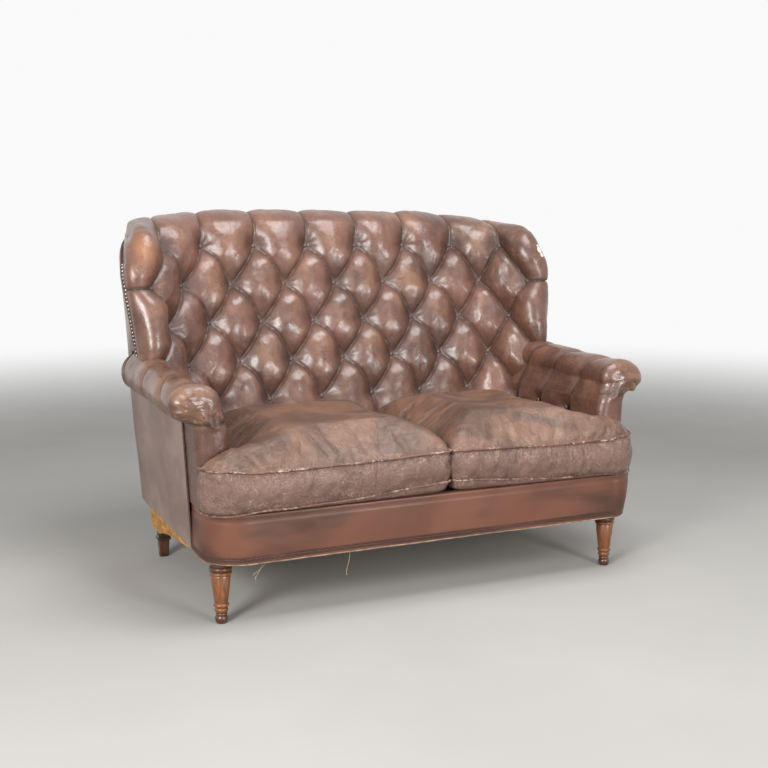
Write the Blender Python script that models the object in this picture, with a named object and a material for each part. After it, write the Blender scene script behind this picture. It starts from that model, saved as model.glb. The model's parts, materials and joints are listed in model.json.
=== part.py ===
"""Two-seat wing sofa in worn leather, with a deep-buttoned back, rolled arms and loose seat cushions.

Metres, +Z up. The front faces -Y. The origin is on the floor, under the middle of the sofa's box.
"""

import math

import bmesh
import bpy
import numpy as np
from mathutils import Vector
from mathutils.geometry import interpolate_bezier

# Clearances and thin goods
GAP = 0.0004            # air left between two pieces that touch
LEATHER = 0.003         # thickness of the outside leather panels

# Base
BASE_HALF_WIDTH = 0.637
BASE_FRONT = -0.438
BASE_REAR = 0.364
BASE_BOTTOM = 0.167
BASE_TOP = 0.294
BASE_CORNER_R = 0.100
SIDE_FLARE = 0.052      # how far the outside leans out for each metre of height
REAR_LEAN = 0.133       # how far the outside back leans for each metre of height
SIDE_SEAM_Y = -0.262    # the upright nailed seam on each side

# Hardwood seat frame
RAIL_TOP = 0.265
RAIL_THICK = 0.034
SIDE_RAIL_INNER = BASE_HALF_WIDTH - 0.056
BRACKET_OUTER = BASE_HALF_WIDTH - 0.022   # outer face of the side rails' bare lower part
FRONT_RAIL_BOTTOM = 0.171
SIDE_RAIL_FOOT = 0.080  # lowest edge of the shaped side rail, over the rear leg
BACK_RAIL_BOTTOM = 0.185
SEAT_BRACE_BOTTOM = 0.190
SEAT_BRACE_THICK = 0.035
SEAT_BRACE_HEIGHT = 0.045
DECK_TOP = 0.2955
REAR_BLOCK = 0.050
CORNER_BLOCK_BOTTOM = 0.168

# Legs
FRONT_LEG_X = BASE_HALF_WIDTH - 0.0415
FRONT_LEG_Y = BASE_FRONT + 0.0615
REAR_LEG_X = BASE_HALF_WIDTH - 0.041
REAR_LEG_Y = BASE_REAR - 0.096
REAR_LEG_TOP = 0.036    # side of the square at the top
REAR_LEG_FOOT = 0.026

# Arms
ARM_FRONT = BASE_FRONT + 0.048
ARM_REAR = 0.245
ARM_INNER_X = BASE_HALF_WIDTH - 0.079
ARM_OUTER_X = BASE_HALF_WIDTH + 0.009
ARM_BOTTOM = 0.2985
ROLL_X = BASE_HALF_WIDTH + 0.013
ROLL_Z = 0.566
ROLL_HALF_WIDTH = 0.063
ROLL_HALF_HEIGHT = 0.048
ROLL_RISE = 0.034       # how much higher the roll is at its rear end
SIDE_PANEL_TOP = 0.5185
ARM_CHANNEL_X = BASE_HALF_WIDTH - 0.040
ARM_RAIL_X = BASE_HALF_WIDTH - 0.037
ARM_RAIL_WIDTH = 0.037
ARM_RAIL_BOTTOM = 0.508
ARM_RAIL_TOP = 0.542
ARM_POST_FRONT = ARM_FRONT + 0.045
ARM_POST_DEPTH = 0.045
PLEAT_DEPTH = 0.009
PLEAT_HALF_WIDTH = 0.016

# Inside back: rows of buttons on a leaning plane that curves forward at the wings
BUTTON_PITCH = (BASE_HALF_WIDTH + 0.063) / 4
ROW_PITCH = 0.118
LOWEST_ROW_Z = 0.480
LOWEST_ROW_Y = 0.210
BACK_LEAN = 0.307       # how far the buttons step back for each metre of height
WRAP_START = BASE_HALF_WIDTH - 0.277
WRAP_RADIUS = 0.320
BACK_BOTTOM = 0.360
ROWS = 5
PILLOW = 0.036          # height of a pillow over its buttons
BAND_PILLOW = 0.014
PAD_THICK = 0.045
WING_THINNING = 0.6     # share of the pad's thickness that is gone where the wing begins
BUTTON_DIMPLE = 0.045   # how far from a button the pillow reaches its height
PLEAT_SHOULDER = 0.050  # how far from a pleat it does
PLEAT_SHARE = 0.60      # how deep a pleat cuts into the pillow
BAND_FILL = 0.5         # share of the way to the middle of a roll that its padding fills at most

# Frame and outside of the back
BACK_POST_X = BASE_HALF_WIDTH - 0.037
BACK_POST_THICK = 0.032
BACK_POST_FRONT = 0.250
TOP_RAIL_Z = 0.945
TOP_RAIL_HEIGHT = 0.038
LOWER_RAIL_Z = 0.332
LOWER_RAIL_HEIGHT = 0.043
WEB_WIDTH = 0.050
WEB_THICK = 0.003
WEBS = 5
WING_BAR_R = 0.008
WING_BAR_FOOT_Y = 0.100
WING_RAIL_LOW = 0.900
WING_RAIL_HIGH = 0.925
WING_RAIL_REAR = 0.430

# Seat
SPRINGS = 6
SPRING_WIRE_R = 0.002
SPRING_SWING = 0.024
SPRING_TURNS = 8
CUSHION_SPLIT_X = 0.030
CUSHION_FRONT = BASE_FRONT - 0.024
CUSHION_REAR = 0.118
CUSHION_EAR_X = BASE_HALF_WIDTH + 0.013
CUSHION_SIDE_X = ARM_INNER_X - 0.010
CUSHION_EDGE = 0.104    # height of the border between the two seams
CUSHION_CROWN = 0.084
CUSHION_BELLY = 0.012
BORDER_BULGE = 0.0163
PIPING_R = 0.004
WELT_R = 0.0026

ROW1_Z = LOWEST_ROW_Z + (ROWS - 1) * ROW_PITCH
FIELD_HALF = 4 * BUTTON_PITCH
LEATHER_SLOPE = math.hypot(1.0, BACK_LEAN)      # length of leather for each metre of height
TOP_REACH = 0.20        # leather from the highest buttons over the top roll
WING_REACH = 0.11       # leather from the outermost buttons round the wing


# Scene and materials

def clear_scene():
    for obj in list(bpy.data.objects):
        bpy.data.objects.remove(obj, do_unlink=True)


def material(name, colour, roughness, metallic=0.0):
    mat = bpy.data.materials.new(name)
    mat.use_nodes = True
    shader = mat.node_tree.nodes["Principled BSDF"]
    shader.inputs["Base Color"].default_value = (*colour, 1.0)
    shader.inputs["Roughness"].default_value = roughness
    shader.inputs["Metallic"].default_value = metallic
    return mat


def finish(name, bm, mat, smooth_angle=None):
    """Turns a bmesh into a named object with its material."""
    mesh = bpy.data.meshes.new(name)
    bm.to_mesh(mesh)
    bm.free()
    if smooth_angle is not None:
        mesh.shade_smooth()
        mesh.set_sharp_from_angle(angle=math.radians(smooth_angle))
    mesh.materials.append(mat)
    obj = bpy.data.objects.new(name, mesh)
    bpy.context.scene.collection.objects.link(obj)
    return obj


def cut_away(obj, *cutters):
    """Takes the cutters out of the object with Boolean modifiers."""
    for cutter in cutters:
        cutter.hide_render = True
        cutter.display_type = "WIRE"
        boolean = obj.modifiers.new("cut_" + cutter.name, "BOOLEAN")
        boolean.operation = "DIFFERENCE"
        boolean.solver = "EXACT"
        boolean.object = cutter


# Shared shapes

def box(name, low, high, mat, bevel=0.0):
    bm = bmesh.new()
    bmesh.ops.create_cube(bm, size=1.0)
    low, high = Vector(low), Vector(high)
    bmesh.ops.scale(bm, vec=high - low, verts=bm.verts)
    bmesh.ops.translate(bm, vec=(low + high) / 2, verts=bm.verts)
    if bevel:
        bmesh.ops.bevel(bm, geom=list(bm.edges), offset=bevel, segments=1, profile=0.5,
                        affect="EDGES", material=-1)
    return finish(name, bm, mat)


def prism(name, outline, axis, start, end, mat):
    """Extrudes an outline, given in the two other axes in their order, along X, Y or Z."""
    def place(a, b, c):
        return {"X": (c, a, b), "Y": (a, c, b), "Z": (a, b, c)}[axis]

    bm = bmesh.new()
    face = bm.faces.new([bm.verts.new(place(a, b, start)) for a, b in outline])
    grown = bmesh.ops.extrude_face_region(bm, geom=[face])
    moved = [v for v in grown["geom"] if isinstance(v, bmesh.types.BMVert)]
    bmesh.ops.translate(bm, vec=Vector(place(0, 0, end - start)), verts=moved)
    bmesh.ops.recalc_face_normals(bm, faces=bm.faces)
    return finish(name, bm, mat)


def wire(name, points, radius, resolution, mat):
    """A round bar through the points, with closed ends."""
    curve = bpy.data.curves.new(name, "CURVE")
    curve.dimensions = "3D"
    curve.bevel_depth = radius
    curve.bevel_resolution = resolution
    curve.use_fill_caps = True
    spline = curve.splines.new("POLY")
    spline.points.add(len(points) - 1)
    for slot, point in zip(spline.points, points):
        slot.co = (*point, 1.0)
    guide = bpy.data.objects.new("guide", curve)
    bm = bmesh.new()
    bm.from_mesh(guide.to_mesh())
    bpy.data.objects.remove(guide, do_unlink=True)
    bmesh.ops.remove_doubles(bm, verts=bm.verts, dist=0.00001)
    bmesh.ops.recalc_face_normals(bm, faces=bm.faces)
    return finish(name, bm, mat, 50)


def loft(name, rings, mat, smooth_angle=40):
    """Joins closed rings of equally many points, and closes the first and the last."""
    bm = bmesh.new()
    made = [[bm.verts.new(p) for p in ring] for ring in rings]
    count = len(made[0])
    for near, far in zip(made, made[1:]):
        for i in range(count):
            k = (i + 1) % count
            bm.faces.new((near[i], near[k], far[k], far[i]))
    bm.faces.new(list(reversed(made[0])))
    bm.faces.new(made[-1])
    bmesh.ops.recalc_face_normals(bm, faces=bm.faces)
    return finish(name, bm, mat, smooth_angle)


def pad(name, front, back, mat, smooth_angle=40, split=None):
    """Closes two grids of points, one behind the other, into one body.

    front and back are lists of rows. split(i, j) says which way the front quad is halved.
    """
    bm = bmesh.new()
    near = [[bm.verts.new(p) for p in row] for row in front]
    far = [[bm.verts.new(p) for p in row] for row in back]
    rows, cols = len(near), len(near[0])
    for j in range(rows - 1):
        for i in range(cols - 1):
            a, b = near[j][i], near[j][i + 1]
            c, d = near[j + 1][i + 1], near[j + 1][i]
            if split is None:
                bm.faces.new((a, b, c, d))
            elif split(i, j):
                bm.faces.new((a, b, c))
                bm.faces.new((a, c, d))
            else:
                bm.faces.new((a, b, d))
                bm.faces.new((b, c, d))
    rear_faces = []
    for j in range(rows - 1):
        for i in range(cols - 1):
            quad = (far[j][i], far[j + 1][i], far[j + 1][i + 1], far[j][i + 1])
            rear_faces.append(bm.faces.new(quad))
    rim = [(j, 0) for j in range(rows)] + [(rows - 1, i) for i in range(1, cols)]
    rim += [(j, cols - 1) for j in range(rows - 2, -1, -1)] + [(0, i) for i in range(cols - 2, 0, -1)]
    for (j0, i0), (j1, i1) in zip(rim, rim[1:] + rim[:1]):
        bm.faces.new((near[j0][i0], near[j1][i1], far[j1][i1], far[j0][i0]))
    bmesh.ops.recalc_face_normals(bm, faces=bm.faces)
    flat_edges = {edge for face in rear_faces for edge in face.edges}
    bmesh.ops.dissolve_limit(bm, angle_limit=math.radians(1.0), edges=list(flat_edges),
                             verts=[v for row in far for v in row])
    return finish(name, bm, mat, smooth_angle)


def turned(name, profile, centre, segments, mat):
    """Spins a profile of (radius, height) pairs about a vertical axis; it starts and ends on the axis."""
    bm = bmesh.new()
    verts = [bm.verts.new((r, 0.0, z)) for r, z in profile]
    edges = [bm.edges.new(pair) for pair in zip(verts, verts[1:])]
    bmesh.ops.spin(bm, geom=verts + edges, cent=(0, 0, 0), axis=(0, 0, 1),
                   angle=math.tau, steps=segments, use_merge=True)
    bmesh.ops.remove_doubles(bm, verts=bm.verts, dist=0.00005)
    bmesh.ops.recalc_face_normals(bm, faces=bm.faces)
    bmesh.ops.translate(bm, vec=centre, verts=bm.verts)
    return finish(name, bm, mat, 35)


def mirrored(points, side):
    return [(side * x, y, z) for x, y, z in points]


def side_outer_x(z):
    """Half width of the outside of the base and arms at a height."""
    return BASE_HALF_WIDTH + SIDE_FLARE * (z - BASE_BOTTOM)


def rear_outer_y(z):
    """The outside back's place at a height."""
    return BASE_REAR + REAR_LEAN * (z - BASE_BOTTOM)


def corner_arc(radius, steps):
    """The right front corner of the base in plan, from the side round to the front."""
    cx = BASE_HALF_WIDTH - BASE_CORNER_R
    cy = BASE_FRONT + BASE_CORNER_R
    turn = [math.radians(90 * k / steps) for k in range(steps + 1)]
    return [(cx + radius * math.cos(t), cy - radius * math.sin(t)) for t in turn]


def base_path(inset, steps=6):
    """The base in plan from the left seam round the front to the right seam."""
    right = [(BASE_HALF_WIDTH - inset, SIDE_SEAM_Y)] + corner_arc(BASE_CORNER_R - inset, steps)
    left = [(-x, y) for x, y in right]
    return left + list(reversed(right))


# Inside back

def plan(u):
    """Place in plan and heading of the button surface, u along it from the middle."""
    side = 1 if u >= 0 else -1
    reach = abs(u)
    if reach <= WRAP_START:
        return u, 0.0, 0.0
    turn = (reach - WRAP_START) / WRAP_RADIUS
    x = WRAP_START + WRAP_RADIUS * math.sin(turn)
    return side * x, WRAP_RADIUS * (1 - math.cos(turn)), side * turn


def button_y(z):
    return LOWEST_ROW_Y + BACK_LEAN * (z - LOWEST_ROW_Z)


def field_point(u, z):
    x, forward, _ = plan(u)
    return Vector((x, button_y(z) - forward, z))


# The right half of the edge where the inside leather ends: down the wing, and along the top rear
WING_RIM = [(0.040, 0.120, 0.560), (0.046, 0.165, 0.650), (0.063, 0.162, 0.760), (0.0755, 0.180, 0.870),
            (0.067, 0.228, 0.930), (0.052, 0.290, 0.958), (0.030, 0.345, 0.975)]
TOP_RIM = [(0.030, 0.345, 0.975), (0.005, 0.402, 0.986), (-0.040, 0.440, 0.994),
           (-0.117, 0.462, 1.000), (-0.277, 0.469, 1.000)]
WING_RIM = [(BASE_HALF_WIDTH + out, y, z) for out, y, z in WING_RIM]
TOP_RIM = [(BASE_HALF_WIDTH + out, y, z) for out, y, z in TOP_RIM]


def smooth_path(points, steps):
    """A smooth line through the points, with steps stretches between each two."""
    ends = [2 * Vector(points[0]) - Vector(points[1]), 2 * Vector(points[-1]) - Vector(points[-2])]
    guide = [ends[0]] + [Vector(p) for p in points] + [ends[1]]
    line = []
    for before, a, b, after in zip(guide, guide[1:], guide[2:], guide[3:]):
        made = interpolate_bezier(a, a + (b - before) / 6, b - (after - a) / 6, b, steps + 1)
        line += made[:-1]
    return line + [Vector(points[-1])]


def along(line, share):
    """The point at a share of the line's length."""
    steps = [(b - a).length for a, b in zip(line, line[1:])]
    left = share * sum(steps)
    for a, b, step in zip(line, line[1:], steps):
        if left <= step:
            return a.lerp(b, left / step)
        left -= step
    return line[-1].copy()


WING_LINE = smooth_path(WING_RIM, 8)
TOP_LINE = smooth_path(TOP_RIM, 8)
RIM_SHARE_AT_FIELD = 0.25   # share of the top rim that lies outside the button field


def wing_rim_at(z):
    """The wing's edge at a height, up to the highest row of buttons."""
    for a, b in zip(WING_LINE, WING_LINE[1:]):
        if a.z <= z <= b.z:
            return a.lerp(b, (z - a.z) / (b.z - a.z))
    slope = (WING_LINE[1] - WING_LINE[0]) / (WING_LINE[1].z - WING_LINE[0].z)
    return WING_LINE[0] + slope * (z - WING_LINE[0].z)


def top_rim_at(u):
    """The rear end of the top roll over a place along the buttons."""
    if abs(u) <= WRAP_START:
        return Vector((u, TOP_RIM[-1][1], TOP_RIM[-1][2]))
    share = (abs(u) - WRAP_START) / (FIELD_HALF - WRAP_START)
    point = along(TOP_LINE, 1 - share * (1 - RIM_SHARE_AT_FIELD))
    return Vector((math.copysign(point.x, u), point.y, point.z))


TOP_SWELL = 0.098           # how far the top roll reaches up before it turns back
CORNER_SWELL_LOSS = 0.42    # share of that which is gone over the outermost buttons
WING_SWELLS = [(0.62, 0.024), (0.90, 0.054)]    # heights, and how far the wing's roll reaches forward there


def top_band(u, count):
    """From the highest row of buttons over the top roll to its rear end."""
    start, end = field_point(u, ROW1_Z), top_rim_at(u)
    _, _, heading = plan(u)
    beyond = max(0.0, abs(u) - WRAP_START) / (FIELD_HALF - WRAP_START)
    swell_here = TOP_SWELL * (1 - CORNER_SWELL_LOSS * beyond)
    lead = Vector((0.35 * math.sin(heading), -0.30, 1.0)).normalized() * swell_here
    tail = Vector((0.30 * math.sin(heading), 0.10, 1.0)).normalized() * swell_here
    return interpolate_bezier(start, start + lead, end + tail, end, count)


def wing_band(side, z, count):
    """From the outermost column of buttons round the front of the wing to its edge."""
    start = field_point(side * FIELD_HALF, z)
    end = wing_rim_at(z)
    end.x *= side
    _, _, heading = plan(side * FIELD_HALF)
    heights, swells = zip(*WING_SWELLS)
    swell_here = float(np.interp(z, heights, swells))
    lead = Vector((side * math.cos(heading), -abs(math.sin(heading)), 0.0)) * swell_here
    return interpolate_bezier(start, start + lead, end + Vector((0, -swell_here, 0)), end, count)


def corner_patch(side, across, upward):
    """The rounded top corner, filled between the ends of the two bands and the rim."""
    bottom = wing_band(side, ROW1_Z, across + 1)
    left = top_band(side * FIELD_HALF, upward + 1)
    low = wing_rim_at(ROW1_Z)
    rise = [low] + [p for p in WING_LINE if p.z > low.z]
    right = [along(rise, k / upward) for k in range(upward + 1)]
    top = [along(TOP_LINE, RIM_SHARE_AT_FIELD * (1 - k / across)) for k in range(across + 1)]
    right = [Vector((side * p.x, p.y, p.z)) for p in right]
    top = [Vector((side * p.x, p.y, p.z)) for p in top]
    patch = []
    for j in range(upward + 1):
        q = j / upward
        row = []
        for i in range(across + 1):
            p = i / across
            ruled = bottom[i] * (1 - q) + top[i] * q + left[j] * (1 - p) + right[j] * p
            plane = (bottom[0] * (1 - p) * (1 - q) + bottom[-1] * p * (1 - q)
                     + top[0] * (1 - p) * q + top[-1] * p * q)
            row.append(ruled - plane)
        patch.append(row)
    return patch


COLUMN_STEPS = 3    # mesh steps for half a button pitch, and for a row, so that pleats follow edges
BAND_STEPS = 4
TOP_STEPS = 5
LOW_STEPS = 3


def back_grid():
    """Rows of base points, and for each its place (u, v) on the leather as if laid flat."""
    field_cols = int(round(2 * FIELD_HALF / (BUTTON_PITCH / 2))) * COLUMN_STEPS
    us = [FIELD_HALF * (2 * k / field_cols - 1) for k in range(field_cols + 1)]
    low = [BACK_BOTTOM + (LOWEST_ROW_Z - BACK_BOTTOM) * k / LOW_STEPS for k in range(LOW_STEPS)]
    rows_up = (ROWS - 1) * COLUMN_STEPS
    zs = low + [LOWEST_ROW_Z + ROW_PITCH * k / COLUMN_STEPS for k in range(rows_up + 1)]
    points, flats = [], []
    for z in zs:
        left = list(reversed(wing_band(-1, z, BAND_STEPS + 1)))
        right = wing_band(1, z, BAND_STEPS + 1)
        points.append(left[:-1] + [field_point(u, z) for u in us] + right[1:])
        flats.append([(u, z * LEATHER_SLOPE) for u in band_us(us)])
    left_patch = corner_patch(-1, BAND_STEPS, TOP_STEPS)
    right_patch = corner_patch(1, BAND_STEPS, TOP_STEPS)
    bands = [top_band(u, TOP_STEPS + 1) for u in us]
    for j in range(1, TOP_STEPS + 1):
        middle = [band[j] for band in bands]
        points.append(list(reversed(left_patch[j]))[:-1] + middle + right_patch[j][1:])
        flats.append([(u, zs[-1] * LEATHER_SLOPE + TOP_REACH * j / TOP_STEPS) for u in band_us(us)])
    return np.array(points), np.array(flats), back_cores(zs, us)


def band_us(us):
    """Adds the wing bands' places along the leather on both sides."""
    outer = [FIELD_HALF + WING_REACH * k / BAND_STEPS for k in range(1, BAND_STEPS + 1)]
    return [-u for u in reversed(outer)] + us + outer


def back_cores(zs, us):
    """For each grid point, the place inside the roll towards which the pad is thick. Field points have none."""
    def wing_core(side, z):
        rim = wing_rim_at(z)
        return (field_point(side * FIELD_HALF, z) + Vector((side * rim.x, rim.y, rim.z))) / 2

    def top_core(u):
        return (field_point(u, ROW1_Z) + top_rim_at(u)) / 2

    none = Vector((math.nan,) * 3)
    rows = []
    for z in zs:
        left, right = [wing_core(-1, z)] * BAND_STEPS, [wing_core(1, z)] * BAND_STEPS
        rows.append(left + [none] * len(us) + right)
    for j in range(1, TOP_STEPS + 1):
        q = j / TOP_STEPS
        shares = [q / (q + i / BAND_STEPS) for i in range(1, BAND_STEPS + 1)]
        right = [wing_core(1, ROW1_Z).lerp(top_core(FIELD_HALF), share) for share in shares]
        left = [Vector((-p.x, p.y, p.z)) for p in reversed(right)]
        rows.append(left + [top_core(u) for u in us] + right)
    return np.array(rows)


def grid_normals(points):
    """Unit normals of a grid of points, out of the sofa's front."""
    along_rows = np.gradient(points, axis=1)
    up_columns = np.gradient(points, axis=0)
    normals = np.cross(along_rows, up_columns)
    return normals / np.linalg.norm(normals, axis=2, keepdims=True)


def buttons():
    """Places (u, v) of the back's buttons, row by row from the top."""
    rows = []
    for k in range(ROWS):
        v = (ROW1_Z - k * ROW_PITCH) * LEATHER_SLOPE
        most = 3.5 if k % 2 == 0 else 4.0
        columns = np.arange(-most, most + 0.1)
        rows.append([(c * BUTTON_PITCH, v) for c in columns])
    return rows


def pleats():
    """The folds between buttons as straight stretches on the flat leather."""
    rows = buttons()
    folds = []
    for upper, lower in zip(rows, rows[1:]):
        for a in upper:
            folds += [(a, b) for b in lower if abs(abs(a[0] - b[0]) - BUTTON_PITCH / 2) < 0.001]
    folds += [((u, v), (u, v + TOP_REACH)) for u, v in rows[0]]
    folds += [((u, v), (u, v - ROW_PITCH * 2)) for u, v in rows[-1]]
    for side in (-1, 1):
        u, v = side * FIELD_HALF, rows[1][0][1]
        folds.append(((u, v), (u + side * WING_REACH, v)))
    return folds


def swell(flats):
    """How far the leather stands out over the button surface, from 0 at a button to 1."""
    spots = np.array([spot for row in buttons() for spot in row])
    to_button = np.linalg.norm(flats[:, :, None, :] - spots, axis=3).min(axis=2)
    to_fold = np.full(flats.shape[:2], 1.0)
    for a, b in pleats():
        a, b = np.array(a), np.array(b)
        share = np.clip(((flats - a) @ (b - a)) / ((b - a) @ (b - a)), 0, 1)
        near = a + share[:, :, None] * (b - a)
        to_fold = np.minimum(to_fold, np.linalg.norm(flats - near, axis=2))
    lift = 1 - np.exp(-(to_button / BUTTON_DIMPLE) ** 2)
    dome = np.sqrt(1 - (1 - np.clip(to_fold / PLEAT_SHOULDER, 0, 1)) ** 2)
    return lift * (1 - PLEAT_SHARE + PLEAT_SHARE * dome)


def inside_back(mat):
    """The deep-buttoned back with its wings and top roll, one leather over one pad."""
    base, flats, cores = back_grid()
    normals = grid_normals(base)
    rows, cols = flats.shape[:2]
    in_field = np.ones((rows, cols))
    in_field[-TOP_STEPS:, :] = 0
    in_field[:, :BAND_STEPS] = 0
    in_field[:, cols - BAND_STEPS:] = 0
    height = np.where(in_field > 0, PILLOW, BAND_PILLOW)
    edge = np.ones((rows, cols))
    edge[-1, :] = edge[:, 0] = edge[:, -1] = 0
    front = base + normals * (height * swell(flats) * edge)[:, :, None]
    reach = cores - base
    depth = np.linalg.norm(reach, axis=2, keepdims=True)
    in_roll = base + reach * np.minimum(BAND_FILL, PAD_THICK / depth)
    near_wing = np.clip((np.abs(flats[:, :, :1]) - FIELD_HALF) / (BUTTON_PITCH / 2) + 1, 0, 1)
    thick = PAD_THICK * (1 - WING_THINNING * near_wing)
    back = np.where(np.isnan(depth), base - normals * thick, in_roll)

    def fold_side(i, j):
        """True where the quad's fold rises to the right."""
        if j < LOW_STEPS or j >= rows - 1 - TOP_STEPS:
            return i < cols // 2
        cell = (i - BAND_STEPS) // COLUMN_STEPS + (j - LOW_STEPS) // COLUMN_STEPS
        return cell % 2 == 0

    body = pad("inside_back", front.tolist(), back.tolist(), mat, 75, fold_side)
    for name, side in (("left", -1), ("right", 1)):
        cut_away(body, arm_solid(f"arm_space_{name}", side, mat, grow=0.0010),
                 wing_bar_hole(f"wing_space_{name}", side, mat))
    return body


# Arms

# Where each pleat crosses the inner face and the outer underside of the roll
ARM_PLEATS = [(0.120, -0.032), (-0.053, -0.259), (-0.214, -0.358)]


def arm_contour(share, grow):
    """The arm's section at a share of its length from the rear, as (x, z) pairs from inside to outside."""
    rise = ROLL_RISE * (1 - share)
    rounding = math.sqrt(max(0.0, 1 - max(0.0, (share - 0.93) / 0.07) ** 2))
    rear = math.sqrt(max(0.0, 1 - max(0.0, (0.04 - share) / 0.04) ** 2))
    puff = 0.80 + 0.20 * min(rounding, rear)
    wide = ROLL_HALF_WIDTH * puff + grow
    tall = (ROLL_HALF_HEIGHT + rise / 2) * puff + grow
    inner = ARM_INNER_X + 0.020 * (1 - rounding) - grow
    outer = ARM_OUTER_X - 0.050 * (1 - rounding) + grow
    bottom = ARM_BOTTOM - 40 * grow
    contour = [(inner, bottom), (inner - 0.003, 0.385), (inner - 0.001, 0.450), (inner + 0.007, 0.505)]
    for degrees in range(195, -75, -24):
        turn = math.radians(degrees)
        contour.append((ROLL_X + wide * math.cos(turn), ROLL_Z + rise / 2 + tall * math.sin(turn)))
    if grow:
        outer += 0.1
        contour[-1] = (outer, contour[-2][1])
    return contour + [(outer, SIDE_PANEL_TOP + 0.0025 - grow), (outer, 0.410), (outer, bottom)]


def arm_solid(name, side, mat, grow=0.0):
    """The stuffed arm without its frame channel. grow makes the space it takes in the back pad."""
    pleat_shares = [(ARM_REAR - outer) / (ARM_REAR - ARM_FRONT) for _, outer in ARM_PLEATS]
    stations = [0.0, 0.015, 0.04, 0.20, 0.60, 0.84, 0.93, 0.97, 0.99, 1.0]
    half = PLEAT_HALF_WIDTH / (ARM_REAR - ARM_FRONT)
    if not grow:
        for share in pleat_shares:
            stations += [share - half, share, share + half]
    rings = []
    for share in sorted(stations):
        contour = arm_contour(share, grow)
        depth = 0.0
        if not grow and any(abs(share - fold) < 1e-6 for fold in pleat_shares):
            depth = PLEAT_DEPTH
        ring = []
        for k, (x, z) in enumerate(contour):
            turn = min(1.0, k / 14)
            y = ARM_REAR - share * (ARM_REAR - ARM_FRONT) + inner_shift(share) * (1 - turn)
            fold = depth * math.sin(math.pi * min(1.0, k / 15)) ** 0.5
            inward = Vector((ROLL_X - x, 0, min(ROLL_Z, z) - z)).normalized() * fold
            ring.append((side * (x + inward.x), y - grow * (1 if share > 0.5 else -1), z + inward.z))
        rings.append(ring)
    return loft(name, rings, mat, 50)


def inner_shift(share):
    """How much further back a pleat lies on the inner face than on the roll's underside."""
    places = [(0.0, 0.0)]
    for inner, outer in ARM_PLEATS:
        places.append(((ARM_REAR - outer) / (ARM_REAR - ARM_FRONT), inner - outer))
    places.append((1.0, 0.0))
    shares, shifts = zip(*places)
    return float(np.interp(share, shares, shifts))


def arms(mat):
    for name, side in (("left", -1), ("right", 1)):
        body = arm_solid(f"arm_{name}", side, mat)
        xs = sorted((side * ARM_CHANNEL_X, side * (ARM_RAIL_X + ARM_RAIL_WIDTH + 0.002)))
        channel = box(f"arm_channel_{name}", (xs[0], ARM_POST_FRONT - 0.004, 0.20),
                      (xs[1], ARM_REAR + 0.05, ARM_RAIL_TOP + 0.003), mat)
        xs = sorted((side * (ARM_CHANNEL_X + 0.003), side * (ROLL_X + 0.15)))
        side_space = box(f"arm_side_{name}", (xs[0], SIDE_SEAM_Y - 0.0012, 0.20),
                         (xs[1], ARM_REAR + 0.05, SIDE_PANEL_TOP + 0.002), mat)
        cut_away(body, channel, side_space, wing_bar_hole(f"wing_hole_{name}", side, mat))


# Outside leather

def sheet(name, grid, inward, mat):
    """A leather panel: the grid is its outer face, and inward points to its inner face."""
    step = Vector(inward).normalized() * LEATHER
    back = [[Vector(p) + step for p in row] for row in grid]
    return pad(name, grid, back, mat, 30)


def outside_arms(mat):
    for name, side in (("left", -1), ("right", 1)):
        grid = []
        for z in (BASE_BOTTOM, 0.34, SIDE_PANEL_TOP):
            x = side_outer_x(z)
            rear = rear_outer_y(z)
            grid.append([(side * x, y, z) for y in (SIDE_SEAM_Y, 0.05, rear)])
        sheet(f"outside_arm_{name}", grid, (-side, 0, 0), mat)


# Heights on the outside back, and how far its edge lies outside the base there
BACK_SHOULDER = [(0.600, 0.0135), (0.800, 0.020), (0.925, 0.023), (0.965, 0.011), (0.988, -0.037), (0.996, -0.137)]


def back_edge_x(z):
    """Half width of the outside back at a height above the arms."""
    heights, outs = zip((SIDE_PANEL_TOP, side_outer_x(SIDE_PANEL_TOP) - LEATHER - GAP - BASE_HALF_WIDTH),
                        *BACK_SHOULDER)
    return BASE_HALF_WIDTH + float(np.interp(z, heights, outs))


def outside_wings(mat):
    """The leather outside each wing, from the nailed edge back to the outside back."""
    over_arm = 0.650
    levels = [SIDE_PANEL_TOP + 0.002, 0.580, over_arm - 0.004, over_arm + 0.006, 0.720, 0.800, 0.870, 0.925,
              0.945, 0.965, 0.972]
    for name, side in (("left", -1), ("right", 1)):
        grid = []
        for z in levels:
            edge = wing_rim_at(z)
            rear_y = rear_outer_y(z) - 0.5 * LEATHER
            rear_x = back_edge_x(z) + GAP
            front_y = edge.y + 0.004 if z > over_arm else ARM_REAR + 0.006
            row = []
            for part_way in (0, 0.35, 0.7, 1):
                y = front_y + (rear_y - front_y) * part_way
                share = (y - edge.y) / (rear_y - edge.y)
                x = edge.x + (rear_x - edge.x) * share ** 1.2
                row.append((side * (x + LEATHER + GAP), y, z))
            grid.append(row)
        sheet(f"outside_wing_{name}", grid, (-side, 0, 0), mat)


def outside_back(mat):
    """The plain leather across the back, with rounded top corners."""
    outline = []
    for z in (BASE_BOTTOM, 0.36, SIDE_PANEL_TOP + 0.001):
        outline.append((side_outer_x(z) - LEATHER - GAP, z))
    outline += [(BASE_HALF_WIDTH + out, z) for z, out in BACK_SHOULDER]
    points = outline + [(-x, z) for x, z in reversed(outline)]
    rear = [(x, rear_outer_y(z), z) for x, z in points]
    front = [(x, y - LEATHER, z) for x, y, z in rear]
    return loft("outside_back", [rear, front], mat, 30)


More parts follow.
